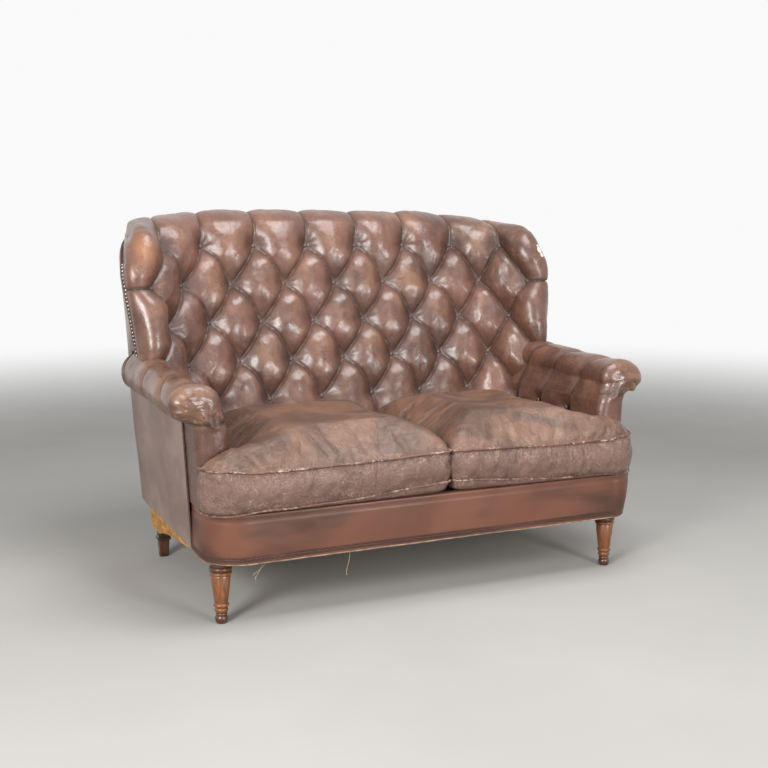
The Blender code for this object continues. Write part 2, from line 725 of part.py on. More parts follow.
def front_border(mat):
    """The leather over the front rail and round both front corners, with a rolled top edge."""
    inner, outer = base_path(LEATHER), base_path(0.0)
    rings = []
    for (xi, yi), (xo, yo) in zip(inner, outer):
        lip = Vector((xi - xo, yi - yo, 0)).normalized() * (LEATHER + 0.0015)
        rings.append([(xo, yo, BASE_BOTTOM), (xo, yo, BASE_TOP - 0.008),
                      (xo + lip.x * 0.25, yo + lip.y * 0.25, BASE_TOP - 0.001),
                      (xo + lip.x, yo + lip.y, BASE_TOP), (xo + lip.x, yo + lip.y, BASE_TOP - LEATHER),
                      (xi, yi, BASE_TOP - 0.008), (xi, yi, BASE_BOTTOM)])
    return loft("front_border", rings, mat, 40)


def base_welt(mat):
    """The pale raw edge of leather that runs round under the sides and front."""
    rear_y = BASE_REAR - 0.002
    path = [(-BASE_HALF_WIDTH + WELT_R, rear_y)] + base_path(WELT_R)
    path.append((BASE_HALF_WIDTH - WELT_R, rear_y))
    points = [(x, y, BASE_BOTTOM - WELT_R - GAP) for x, y in path]
    return wire("base_welt", points, WELT_R, 1, mat)


# Seat frame

def side_rails(mat):
    """Shaped side rails: deep over the rear leg and swept up to the front."""
    outer = BASE_HALF_WIDTH - LEATHER - GAP
    rear = BASE_REAR - LEATHER - GAP
    front = BASE_FRONT + BASE_CORNER_R + GAP
    heel = [(rear, 0.150), (rear - 0.010, 0.105), (rear - 0.030, SIDE_RAIL_FOOT)]
    sweep = [(REAR_LEG_Y - 0.030, SIDE_RAIL_FOOT), (0.170, 0.098), (0.060, 0.116),
             (-0.060, 0.126), (-0.180, 0.138), (-0.270, 0.151), (front, 0.160)]
    outline = [(front, RAIL_TOP), (rear, RAIL_TOP)] + heel + sweep
    for name, side in (("left", -1), ("right", 1)):
        rail = prism(f"side_rail_{name}", outline, "X", side * SIDE_RAIL_INNER, side * outer, mat)
        xs = sorted((side * BRACKET_OUTER, side * (BASE_HALF_WIDTH + 0.06)))
        rabbet = box(f"rabbet_{name}", (xs[0], BASE_FRONT, 0.0), (xs[1], BASE_REAR + 0.1, FRONT_RAIL_BOTTOM), mat)
        cut_away(rail, rabbet)


def cross_rails(mat):
    inner = SIDE_RAIL_INNER
    front = BASE_FRONT + LEATHER + GAP
    rear = BASE_REAR - LEATHER - GAP
    corner_x = BASE_HALF_WIDTH - BASE_CORNER_R
    box("front_seat_rail", (-corner_x + GAP, front, FRONT_RAIL_BOTTOM),
        (corner_x - GAP, front + RAIL_THICK, RAIL_TOP), mat)
    box("back_seat_rail", (-inner + GAP, rear - RAIL_THICK, BACK_RAIL_BOTTOM), (inner - GAP, rear, RAIL_TOP), mat)
    half = SEAT_BRACE_THICK / 2
    box("seat_brace", (-half, front + RAIL_THICK + GAP, SEAT_BRACE_BOTTOM),
        (half, rear - RAIL_THICK - GAP, SEAT_BRACE_BOTTOM + SEAT_BRACE_HEIGHT), mat)


def corner_blocks(mat):
    """Round-nosed blocks in the front corners and plain blocks in the rear ones; the legs screw into them."""
    radius = BASE_CORNER_R - LEATHER - GAP
    inner = SIDE_RAIL_INNER
    rear = BASE_REAR - LEATHER - GAP - RAIL_THICK - GAP
    centre = (BASE_HALF_WIDTH - BASE_CORNER_R + GAP, BASE_FRONT + BASE_CORNER_R - GAP)
    for name, side in (("left", -1), ("right", 1)):
        arc = [(side * x, min(y, centre[1])) for x, y in corner_arc(radius, 6)]
        arc[-1] = (side * centre[0], arc[-1][1])
        outline = [(side * centre[0], centre[1])] + arc
        prism(f"front_corner_block_{name}", outline, "Z", CORNER_BLOCK_BOTTOM, RAIL_TOP, mat)
        xs = sorted((side * (inner - GAP), side * (inner - GAP - REAR_BLOCK)))
        box(f"rear_corner_block_{name}", (xs[0], rear - REAR_BLOCK, SEAT_BRACE_BOTTOM),
            (xs[1], rear, RAIL_TOP), mat, 0.003)


def seat_springs(mat):
    """Zigzag springs from the front rail to the back rail."""
    start = BASE_FRONT + LEATHER + 0.012
    end = BASE_REAR - LEATHER - 0.012
    z = RAIL_TOP + GAP + SPRING_WIRE_R
    spread = 2 * (ARM_INNER_X - 0.060)
    for k in range(SPRINGS):
        x = -spread / 2 + spread * k / (SPRINGS - 1)
        wire(f"seat_spring_{k + 1}", zigzag(x, start, end, z), SPRING_WIRE_R, 0, mat)


def zigzag(x, start, end, z):
    """A flat wave of straight runs and short turns."""
    points = [(x, start, z)]
    step = (end - start) / (SPRING_TURNS + 1)
    for n in range(SPRING_TURNS):
        swing = SPRING_SWING if n % 2 else -SPRING_SWING
        y = start + step * (n + 1)
        for out, ahead in ((0.7, -0.46), (1.0, -0.15), (0.7, 0.16)):
            points.append((x + swing * out, y + step * ahead, z))
    return points + [(x, end, z)]


def seat_deck(mat):
    """The stuffed platform that the cushions lie on, with ears in front of the arms."""
    low = RAIL_TOP + 2 * SPRING_WIRE_R + 2 * GAP
    side_x = ARM_INNER_X - 0.006
    ear_y = ARM_FRONT - 0.0035
    rear = button_y(BACK_BOTTOM) - PILLOW - 0.012
    nose = [(x, y) for x, y in corner_arc(BASE_CORNER_R - 0.006, 6) if y < ear_y - 0.002]
    half = [(side_x, rear), (side_x, ear_y), (nose[0][0] - 0.002, ear_y)] + nose
    outline = half + [(-x, y) for x, y in reversed(half)]
    return prism("seat_deck", outline, "Z", low, DECK_TOP, mat)


def bottom_cloth(mat):
    """Hessian tacked under the seat frame between the rails."""
    inner = SIDE_RAIL_INNER - 0.002
    front = BASE_FRONT + LEATHER + 0.006
    rear = BASE_REAR - LEATHER - 0.004
    block = BASE_CORNER_R + 0.005
    outline = [(-inner + block, front), (inner - block, front), (inner - block, front + block),
               (inner, front + block), (inner, rear), (-inner, rear), (-inner, front + block),
               (-inner + block, front + block)]
    top = FRONT_RAIL_BOTTOM - GAP
    return prism("bottom_cloth", outline, "Z", top - 0.0012, top, mat)


# Back frame

def back_frame(mat):
    rail_front = button_y(TOP_RAIL_Z + 0.01) + PAD_THICK / math.cos(math.atan(BACK_LEAN)) + WEB_THICK + 0.002
    for name, side in (("left", -1), ("right", 1)):
        rear = [(rear_outer_y(z) - LEATHER - GAP, z) for z in (RAIL_TOP + GAP, TOP_RAIL_Z - GAP)]
        outline = [(BACK_POST_FRONT, RAIL_TOP + GAP), rear[0], rear[1], (rail_front, TOP_RAIL_Z - GAP),
                   (0.310, 0.660), (BACK_POST_FRONT, 0.540)]
        prism(f"back_post_{name}", outline, "X", side * BACK_POST_X, side * (BACK_POST_X + BACK_POST_THICK), mat)
    half = BACK_POST_X + BACK_POST_THICK
    box("back_top_rail", (-half, rail_front, TOP_RAIL_Z), (half, rail_front + 0.030,
        TOP_RAIL_Z + TOP_RAIL_HEIGHT), mat, 0.004)
    box("back_lower_rail", (-BACK_POST_X + GAP, BACK_POST_FRONT + 0.001, LOWER_RAIL_Z),
        (BACK_POST_X - GAP, BACK_POST_FRONT + 0.036, LOWER_RAIL_Z + LOWER_RAIL_HEIGHT), mat)


def back_webs(mat):
    """Upright webbing from the lower rail to the top rail, close behind the pad."""
    lean = math.hypot(1.0, BACK_LEAN)
    behind = PAD_THICK * lean + 0.0006
    low_y = BACK_POST_FRONT + 0.001 - GAP - WEB_THICK
    meet = LOWEST_ROW_Z + (low_y - behind - LOWEST_ROW_Y) / BACK_LEAN
    top = TOP_RAIL_Z + 0.012
    front = [(low_y, LOWER_RAIL_Z + 0.006), (low_y, meet), (button_y(top) + behind, top)]
    back = [(y + WEB_THICK, z) for y, z in reversed(front)]
    spread = BACK_POST_X
    for k in range(WEBS):
        x = -spread / 2 + spread * k / (WEBS - 1)
        prism(f"back_web_{k + 1}", front + back, "X", x - WEB_WIDTH / 2, x + WEB_WIDTH / 2, mat)


def arm_frames(mat):
    for name, side in (("left", -1), ("right", 1)):
        xs = sorted((side * ARM_RAIL_X, side * (ARM_RAIL_X + ARM_RAIL_WIDTH)))
        box(f"arm_rail_{name}", (xs[0], ARM_POST_FRONT, ARM_RAIL_BOTTOM),
            (xs[1], BACK_POST_FRONT - GAP, ARM_RAIL_TOP), mat)
        xs = sorted((side * (ARM_RAIL_X + 0.001), side * (ARM_RAIL_X + RAIL_THICK - 0.003)))
        box(f"arm_post_{name}", (xs[0], ARM_POST_FRONT + 0.010, RAIL_TOP + GAP),
            (xs[1], ARM_POST_FRONT + 0.010 + ARM_POST_DEPTH, ARM_RAIL_BOTTOM - GAP), mat)


def wing_bar_path(foot_z):
    """Up from the arm rail through the roll, and along inside the front of the right wing."""
    foot_x = ARM_RAIL_X + ARM_RAIL_WIDTH - WING_BAR_R - 0.003
    path = [(foot_x, WING_BAR_FOOT_Y, foot_z), (foot_x, WING_BAR_FOOT_Y, 0.575)]
    for z in (0.650, 0.720, 0.800, 0.870, 0.930):
        inner = field_point(FIELD_HALF, z)
        outer = wing_rim_at(z)
        path.append(tuple((inner + outer) / 2 + Vector((0.005, 0.004, 0.0))))
    return path


def wing_bar_hole(name, side, mat):
    """The snug space that padding leaves for the bar."""
    path = [Vector(p) for p in mirrored(wing_bar_path(ARM_RAIL_TOP - 0.010), side)]
    path[-1] += (path[-1] - path[-2]).normalized() * 0.0025
    return wire(name, path, WING_BAR_R + 0.0008, 1, mat)


def wing_frames(mat):
    """A bent bar inside each wing, and a rail from its head back to the back post."""
    path = wing_bar_path(ARM_RAIL_TOP + GAP)
    head = Vector(path[-1])
    for name, side in (("left", -1), ("right", 1)):
        wire(f"wing_post_{name}", mirrored(path, side), WING_BAR_R, 1, mat)
        front_y = head.y + WING_BAR_R + 0.001
        post_x = BACK_POST_X + BACK_POST_THICK + GAP
        outline = [(head.x - 0.004, front_y), (head.x + 0.012, front_y), (post_x + 0.016, WING_RAIL_REAR), (post_x, WING_RAIL_REAR)]
        outline = [(side * x, y) for x, y in outline]
        prism(f"wing_rail_{name}", outline, "Z", WING_RAIL_LOW, WING_RAIL_HIGH, mat)


# Legs

def front_legs(mat):
    """Turned legs: a collar and two rings under the frame, a long taper, a ring, a neck and a foot."""
    top = CORNER_BLOCK_BOTTOM - GAP
    profile = [(0.0, 0.0), (0.0125, 0.0), (0.0165, 0.012), (0.0172, 0.020), (0.0145, 0.024), (0.0172, 0.029),
               (0.0180, 0.036), (0.0150, 0.041), (0.0205, 0.0465), (0.0205, 0.050), (0.0180, 0.053),
               (0.0262, 0.128), (0.0290, 0.133), (0.0268, 0.138), (0.0285, 0.143), (0.0243, 0.149),
               (0.0243, top), (0.0, top)]
    for name, side in (("left", -1), ("right", 1)):
        turned(f"front_leg_{name}", profile, (side * FRONT_LEG_X, FRONT_LEG_Y, 0.0), 16, mat)


def rear_legs(mat):
    """Short square legs with a collar, tapering to the floor."""
    top = SIDE_RAIL_FOOT - GAP
    levels = [(0.0, REAR_LEG_FOOT), (0.052, REAR_LEG_TOP - 0.004), (0.054, REAR_LEG_TOP + 0.004),
              (0.062, REAR_LEG_TOP + 0.004), (0.064, REAR_LEG_TOP - 0.002), (top, REAR_LEG_TOP - 0.002)]
    for name, side in (("left", -1), ("right", 1)):
        rings = []
        for z, width in levels:
            half, cut = width / 2, width * 0.12
            corners = [(half - cut, -half), (half, -half + cut), (half, half - cut), (half - cut, half),
                       (-half + cut, half), (-half, half - cut), (-half, -half + cut), (-half + cut, -half)]
            rings.append([(side * REAR_LEG_X + dx, REAR_LEG_Y + dy, z) for dx, dy in corners])
        loft(f"rear_leg_{name}", rings, mat, 30)


# Cushions

def cushion_outline(side, steps):
    """The T-shaped cushion's plan. Each point comes with the place in the crown that it faces."""
    inner = CUSHION_SPLIT_X + 0.002 * side
    outer = side * CUSHION_SIDE_X
    ear = side * CUSHION_EAR_X
    ear_back = ARM_FRONT - 0.004
    crown_in, crown_out = inner + 0.140 * side, outer - 0.140 * side
    crown_front, crown_rear = CUSHION_FRONT + 0.132, CUSHION_REAR - 0.148
    corners = [((inner, CUSHION_FRONT + 0.006), 0.030, (crown_in, crown_front)),
               ((ear, CUSHION_FRONT + 0.004), 0.050, (crown_out, ARM_FRONT - 0.035)),
               ((ear, ear_back), 0.010, (crown_out, ARM_FRONT - 0.022)),
               ((outer, ear_back), 0.006, (crown_out, ARM_FRONT - 0.005)),
               ((outer, CUSHION_REAR), 0.130, (crown_out, crown_rear)),
               ((inner, CUSHION_REAR), 0.040, (crown_in, crown_rear))]
    points = []
    count = len(corners)
    for k, (corner, radius, facing) in enumerate(corners):
        corner = Vector(corner)
        before = (Vector(corners[k - 1][0]) - corner).normalized()
        after = (Vector(corners[(k + 1) % count][0]) - corner).normalized()
        a, b = corner + before * radius, corner + after * radius
        number = steps if radius > 0.02 else 2
        for n in range(number + 1):
            t = n / number
            points.append((a * (1 - t) ** 2 + corner * 2 * t * (1 - t) + b * t ** 2, Vector(facing)))
    return points


def seat_cushions(mat):
    """Crowned cushions with a piped seam round the top and the bottom of the border."""
    low = DECK_TOP + 0.0003 + CUSHION_BELLY
    levels = [(0.30, -CUSHION_BELLY), (0.72, -CUSHION_BELLY), (0.955, -0.004), (1.0, -PIPING_R * 0.3),
              (1.0, PIPING_R), (0.990, 2 * PIPING_R), (1.0, CUSHION_EDGE * 0.5),
              (0.990, CUSHION_EDGE - 2 * PIPING_R), (1.0, CUSHION_EDGE - PIPING_R),
              (1.0, CUSHION_EDGE + PIPING_R * 0.3), (0.955, CUSHION_EDGE + 0.010),
              (0.80, CUSHION_EDGE + CUSHION_CROWN * 0.55), (0.55, CUSHION_EDGE + CUSHION_CROWN * 0.88),
              (0.20, CUSHION_EDGE + CUSHION_CROWN)]
    for name, side in (("left", -1), ("right", 1)):
        rings = []
        for share, rise in levels:
            ring = []
            for p, facing in cushion_outline(side, 4):
                place = facing + (p - facing) * share
                if rise == CUSHION_EDGE * 0.5 and p.y < ARM_FRONT - 0.020:
                    place.y -= BORDER_BULGE
                ring.append((place.x, place.y, low + rise))
            rings.append(ring)
        loft(f"seat_cushion_{name}", rings, mat, 50)


def main():
    clear_scene()
    leather = material("worn_leather", (0.150, 0.062, 0.042), 0.42)
    seat_leather = material("seat_leather", (0.185, 0.098, 0.068), 0.60)
    side_leather = material("side_leather", (0.205, 0.130, 0.108), 0.62)
    welt = material("raw_leather_edge", (0.55, 0.38, 0.28), 0.75)
    stained = material("stained_leg_wood", (0.27, 0.105, 0.030), 0.35)
    dark_wood = material("dark_leg_wood", (0.075, 0.028, 0.012), 0.35)
    bare_wood = material("bare_frame_wood", (0.48, 0.24, 0.075), 0.60)
    steel = material("spring_steel", (0.32, 0.31, 0.30), 0.40, 1.0)
    jute = material("jute_webbing", (0.42, 0.31, 0.18), 0.90)
    hessian = material("hessian_cloth", (0.36, 0.27, 0.17), 0.95)
    deck = material("seat_deck_cloth", (0.10, 0.055, 0.040), 0.85)
    side_rails(bare_wood)
    cross_rails(bare_wood)
    corner_blocks(bare_wood)
    back_frame(bare_wood)
    arm_frames(bare_wood)
    wing_frames(bare_wood)
    seat_springs(steel)
    back_webs(jute)
    bottom_cloth(hessian)
    seat_deck(deck)
    front_legs(stained)
    rear_legs(dark_wood)
    inside_back(leather)
    arms(leather)
    outside_arms(side_leather)
    outside_wings(leather)
    outside_back(side_leather)
    front_border(leather)
    base_welt(welt)
    seat_cushions(seat_leather)


main()
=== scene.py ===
"""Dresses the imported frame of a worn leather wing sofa: tufting, cushions, trim, wood and a plain stage."""

import json
import math

import bmesh
import bpy
import numpy as np
from mathutils import Matrix, Vector, noise
from mathutils.geometry import interpolate_bezier


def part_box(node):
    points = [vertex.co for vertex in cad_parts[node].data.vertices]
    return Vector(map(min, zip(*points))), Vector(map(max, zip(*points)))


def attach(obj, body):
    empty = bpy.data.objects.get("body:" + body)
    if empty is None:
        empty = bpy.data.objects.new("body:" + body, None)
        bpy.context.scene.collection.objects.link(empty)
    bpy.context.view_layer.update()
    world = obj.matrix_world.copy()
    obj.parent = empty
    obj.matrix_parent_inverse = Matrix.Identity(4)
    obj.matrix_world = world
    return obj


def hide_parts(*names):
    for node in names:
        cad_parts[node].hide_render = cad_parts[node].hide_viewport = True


bl_info = {
    "name": "Worn Leather Wing Sofa",
    "version": (1, 0, 0),
    "blender": (4, 5, 0),
    "location": "View3D > Sidebar > Sofa",
    "description": "Builds the leather, cushions, trim and stage of a worn wing sofa",
    "category": "Object",
}

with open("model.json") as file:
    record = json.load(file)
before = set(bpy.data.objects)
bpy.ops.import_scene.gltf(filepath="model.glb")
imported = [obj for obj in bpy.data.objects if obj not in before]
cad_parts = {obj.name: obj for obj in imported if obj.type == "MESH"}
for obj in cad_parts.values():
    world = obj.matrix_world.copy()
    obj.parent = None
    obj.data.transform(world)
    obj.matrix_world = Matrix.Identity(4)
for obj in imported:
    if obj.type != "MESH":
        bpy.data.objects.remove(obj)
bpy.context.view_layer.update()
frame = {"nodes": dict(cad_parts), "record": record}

# Sizes read from the frame
BORDER_LOW, BORDER_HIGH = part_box("front_border")
ARM_LOW, ARM_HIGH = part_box("arm_right")
DECK_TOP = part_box("seat_deck")[1].z
BASE_HALF_WIDTH = BORDER_HIGH.x
BASE_FRONT = BORDER_LOW.y
BASE_BOTTOM = BORDER_LOW.z
BASE_TOP = BORDER_HIGH.z
BASE_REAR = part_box("base_welt")[1].y + 0.002
SIDE_SEAM_Y = BORDER_HIGH.y
FRONT_LEG_LOW, FRONT_LEG_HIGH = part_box("front_leg_right")

# The frame's own proportions
BASE_CORNER_R = 0.100
TIGHT_CORNER_R = 0.055
RIGHT_END_BULGE = 0.020
SIDE_FLARE = 0.052
REAR_LEAN = 0.133
BUTTON_PITCH = (BASE_HALF_WIDTH + 0.063) / 4
ROW_PITCH = 0.118
ROWS = 5
LOWEST_ROW_Z = 0.480
LOWEST_ROW_Y = 0.210
BACK_LEAN = 0.307
WRAP_START = BASE_HALF_WIDTH - 0.277
WRAP_RADIUS = 0.320
FIELD_HALF = 4 * BUTTON_PITCH
ROW1_Z = LOWEST_ROW_Z + (ROWS - 1) * ROW_PITCH
LEATHER_SLOPE = math.hypot(1.0, BACK_LEAN)
WING_REACH = 0.11
TOP_REACH = 0.20
ARM_FRONT = ARM_LOW.y
ARM_REAR = ARM_HIGH.y
ROLL_X = BASE_HALF_WIDTH + 0.013
ROLL_Z = 0.566
ROLL_HALF_WIDTH = ARM_HIGH.x - ROLL_X
ROLL_HALF_HEIGHT = 0.048
ROLL_RISE = 0.034
CUSHION_SPLIT_X = 0.030
CUSHION_FRONT = BASE_FRONT - 0.030
CUSHION_REAR = 0.128


# Small helpers for meshes

def add_object(name, bm, mat, smooth=True):
    mesh = bpy.data.meshes.new(name)
    bm.to_mesh(mesh)
    bm.free()
    if smooth:
        mesh.shade_smooth()
    mesh.materials.append(mat)
    obj = bpy.data.objects.new(name, mesh)
    bpy.context.scene.collection.objects.link(obj)
    return obj


def seat(obj, slot, *nodes):
    """Fixes a finished piece to the sofa, in place of the frame's plain nodes."""
    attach(obj, "root")
    if nodes:
        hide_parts(*nodes)
    return obj


def paint(obj, **values):
    """Stores one number for each point of the mesh under each name."""
    for name, numbers in values.items():
        layer = obj.data.attributes.new(name, "FLOAT", "POINT")
        layer.data.foreach_set("value", np.asarray(numbers, np.float32).ravel())


def leather_grid(points, closed=False):
    """A quad sheet from a block of points [row, column, xyz]. closed joins the last column to the first."""
    rows, cols = points.shape[:2]
    bm = bmesh.new()
    bmesh.ops.create_grid(bm, x_segments=cols - 1, y_segments=rows - 1, size=0.5)
    for vert in bm.verts:
        i = round((vert.co.x + 0.5) * (cols - 1))
        j = round((vert.co.y + 0.5) * (rows - 1))
        vert.co = points[j, i]
    if closed:
        bmesh.ops.remove_doubles(bm, verts=bm.verts, dist=0.00002)
    return bm


def tube(name, points, radius, mat, closed=False, resolution=2, ends=True):
    """A round cord through the points."""
    curve = bpy.data.curves.new(name, "CURVE")
    curve.dimensions = "3D"
    curve.bevel_depth = radius
    curve.bevel_resolution = resolution
    curve.use_fill_caps = ends and not closed
    spline = curve.splines.new("POLY")
    spline.points.add(len(points) - 1)
    for slot, point in zip(spline.points, points):
        slot.co = (*point, 1.0)
    spline.use_cyclic_u = closed
    curve.materials.append(mat)
    obj = bpy.data.objects.new(name, curve)
    bpy.context.scene.collection.objects.link(obj)
    return obj


def smooth_path(points, steps):
    """A smooth line through the points, with steps stretches between each two."""
    points = [Vector(p) for p in points]
    guide = [2 * points[0] - points[1], *points, 2 * points[-1] - points[-2]]
    line = []
    for before, a, b, after in zip(guide, guide[1:], guide[2:], guide[3:]):
        line += interpolate_bezier(a, a + (b - before) / 6, b - (after - a) / 6, b, steps + 1)[:-1]
    return np.array(line + [points[-1]])


def spaced(line, step):
    """Points at an even step along a line, and the direction there."""
    line = np.asarray(line, float)
    lengths = np.linalg.norm(np.diff(line, axis=0), axis=1)
    reach = np.concatenate([[0], np.cumsum(lengths)])
    count = max(2, round(reach[-1] / step) + 1)
    at = np.linspace(0, reach[-1], count)
    points = np.stack([np.interp(at, reach, line[:, k]) for k in range(3)], axis=1)
    ways = np.gradient(points, axis=0)
    return points, ways / np.linalg.norm(ways, axis=1, keepdims=True)


def studs(name, places, outward, radius, flatness, mat):
    """Small domed nail heads on the places, each facing its outward direction."""
    bm = bmesh.new()
    for place, way in zip(places, outward):
        turn = Vector(way).to_track_quat("Z", "Y").to_matrix().to_4x4()
        stand = Matrix.Translation(Vector(place)) @ turn @ Matrix.Diagonal((1, 1, flatness, 1))
        bmesh.ops.create_uvsphere(bm, u_segments=8, v_segments=5, radius=radius, matrix=stand)
    return add_object(name, bm, mat)


def smoothstep(x, low, high):
    t = np.clip((x - low) / (high - low), 0, 1)
    return t * t * (3 - 2 * t)


def rumple(points, size, seed):
    """Smooth noise between -1 and 1 at each point of a block."""
    place = np.asarray(points, float) / size + seed * 17.31
    cell = np.floor(place)
    ease = place - cell
    ease = ease * ease * (3 - 2 * ease)
    total = np.zeros(place.shape[:-1])
    for corner in np.ndindex(2, 2, 2):
        mixed = np.sin((cell + corner) @ np.array([127.1, 311.7, 74.7])) * 43758.5453
        share = np.prod(np.where(np.array(corner) == 1, ease, 1 - ease), axis=-1)
        total += (2 * (mixed - np.floor(mixed)) - 1) * share
    return total


def creases(points, size, seed):
    """Noise with sharp ridges, near 1 on a ridge and below 0 between ridges."""
    return 1 - 2.6 * np.abs(rumple(points, size, seed)) + 0.25 * rumple(points, size / 3, seed + 1)


def side_outer_x(z):
    return BASE_HALF_WIDTH + SIDE_FLARE * (z - BASE_BOTTOM)


def rear_outer_y(z):
    return BASE_REAR + REAR_LEAN * (z - BASE_BOTTOM)


# Finishes

class Nodes:
    """Builds the nodes of one material."""

    def __init__(self, name):
        self.mat = bpy.data.materials.new(name)
        self.mat.use_nodes = True
        self.tree = self.mat.node_tree
        self.shader = self.tree.nodes["Principled BSDF"]
        self.place = self.add("ShaderNodeTexCoord").outputs["Object"]

    def add(self, kind, **settings):
        node = self.tree.nodes.new(kind)
        for key, value in settings.items():
            setattr(node, key, value)
        return node

    def link(self, value, socket):
        if isinstance(value, bpy.types.NodeSocket):
            self.tree.links.new(value, socket)
        else:
            socket.default_value = value

    def noise(self, scale, detail=3.0, rough=0.5, warp=0.0, vector=None):
        node = self.add("ShaderNodeTexNoise")
        self.link(vector or self.place, node.inputs["Vector"])
        node.inputs["Scale"].default_value = scale
        node.inputs["Detail"].default_value = detail
        node.inputs["Roughness"].default_value = rough
        node.inputs["Distortion"].default_value = warp
        return node.outputs["Fac"]

    def cells(self, scale, feature="F1", vector=None):
        node = self.add("ShaderNodeTexVoronoi", feature=feature)
        self.link(vector or self.place, node.inputs["Vector"])
        node.inputs["Scale"].default_value = scale
        return node.outputs["Distance"]

    def stretched(self, scale):
        node = self.add("ShaderNodeMapping")
        self.link(self.place, node.inputs["Vector"])
        node.inputs["Scale"].default_value = scale
        return node.outputs["Vector"]

    def range(self, value, low, high, out_low=0.0, out_high=1.0):
        node = self.add("ShaderNodeMapRange", interpolation_type="SMOOTHSTEP")
        self.link(value, node.inputs["Value"])
        node.inputs["From Min"].default_value = low
        node.inputs["From Max"].default_value = high
        node.inputs["To Min"].default_value = out_low
        node.inputs["To Max"].default_value = out_high
        return node.outputs["Result"]

    def math(self, operation, a, b=0.0):
        node = self.add("ShaderNodeMath", operation=operation)
        self.link(a, node.inputs[0])
        self.link(b, node.inputs[1])
        return node.outputs[0]

    def mix(self, share, a, b):
        node = self.add("ShaderNodeMix", data_type="RGBA")
        self.link(share, node.inputs["Factor"])
        self.link(a if isinstance(a, bpy.types.NodeSocket) else (*a, 1.0), node.inputs["A"])
        self.link(b if isinstance(b, bpy.types.NodeSocket) else (*b, 1.0), node.inputs["B"])
        return node.outputs["Result"]

    def painted(self, name):
        return self.add("ShaderNodeAttribute", attribute_name=name).outputs["Fac"]

    def height(self):
        node = self.add("ShaderNodeSeparateXYZ")
        self.link(self.place, node.inputs[0])
        return node.outputs["Z"]

    def near(self, centre, radius, softness, ragged):
        """1 close to a place on the sofa, with a ragged edge, and 0 further off."""
        node = self.add("ShaderNodeVectorMath", operation="DISTANCE")
        self.link(self.place, node.inputs[0])
        node.inputs[1].default_value = centre
        rough_edge = self.math("MULTIPLY", self.noise(90, 4, 0.7), ragged)
        distance = self.math("ADD", node.outputs["Value"], rough_edge)
        return self.range(distance, radius, radius + softness, 1.0, 0.0)

    def bumps(self, *layers):
        """Adds (height, distance, strength) layers, each on top of the last."""
        normal = None
        for height, distance, strength in layers:
            node = self.add("ShaderNodeBump")
            node.inputs["Strength"].default_value = strength
            node.inputs["Distance"].default_value = distance
            self.link(height, node.inputs["Height"])
            if normal:
                self.link(normal, node.inputs["Normal"])
            normal = node.outputs["Normal"]
        self.link(normal, self.shader.inputs["Normal"])

    def fade_out(self, colour, near, far):
        """Turns the finish into a plain backdrop between two distances from the sofa."""
        glow = self.add("ShaderNodeEmission")
        glow.inputs["Color"].default_value = (*colour, 1.0)
        away = self.add("ShaderNodeVectorMath", operation="LENGTH")
        self.link(self.place, away.inputs[0])
        share = self.math("MULTIPLY", self.range(away.outputs["Value"], near, far), looked_at(self.tree))
        blend = self.add("ShaderNodeMixShader")
        self.link(share, blend.inputs[0])
        self.link(self.shader.outputs[0], blend.inputs[1])
        self.link(glow.outputs[0], blend.inputs[2])
        self.link(blend.outputs[0], self.tree.nodes["Material Output"].inputs["Surface"])

    def done(self, colour, roughness, specular=0.5, coat=0.0, coat_rough=0.2):
        self.link(colour, self.shader.inputs["Base Color"])
        self.link(roughness, self.shader.inputs["Roughness"])
        self.shader.inputs["Specular IOR Level"].default_value = specular
        self.shader.inputs["Coat Weight"].default_value = coat
        self.shader.inputs["Coat Roughness"].default_value = coat_rough
        return self.mat


def shade(colour, factor):
    return tuple(min(1.0, c * factor) for c in colour)


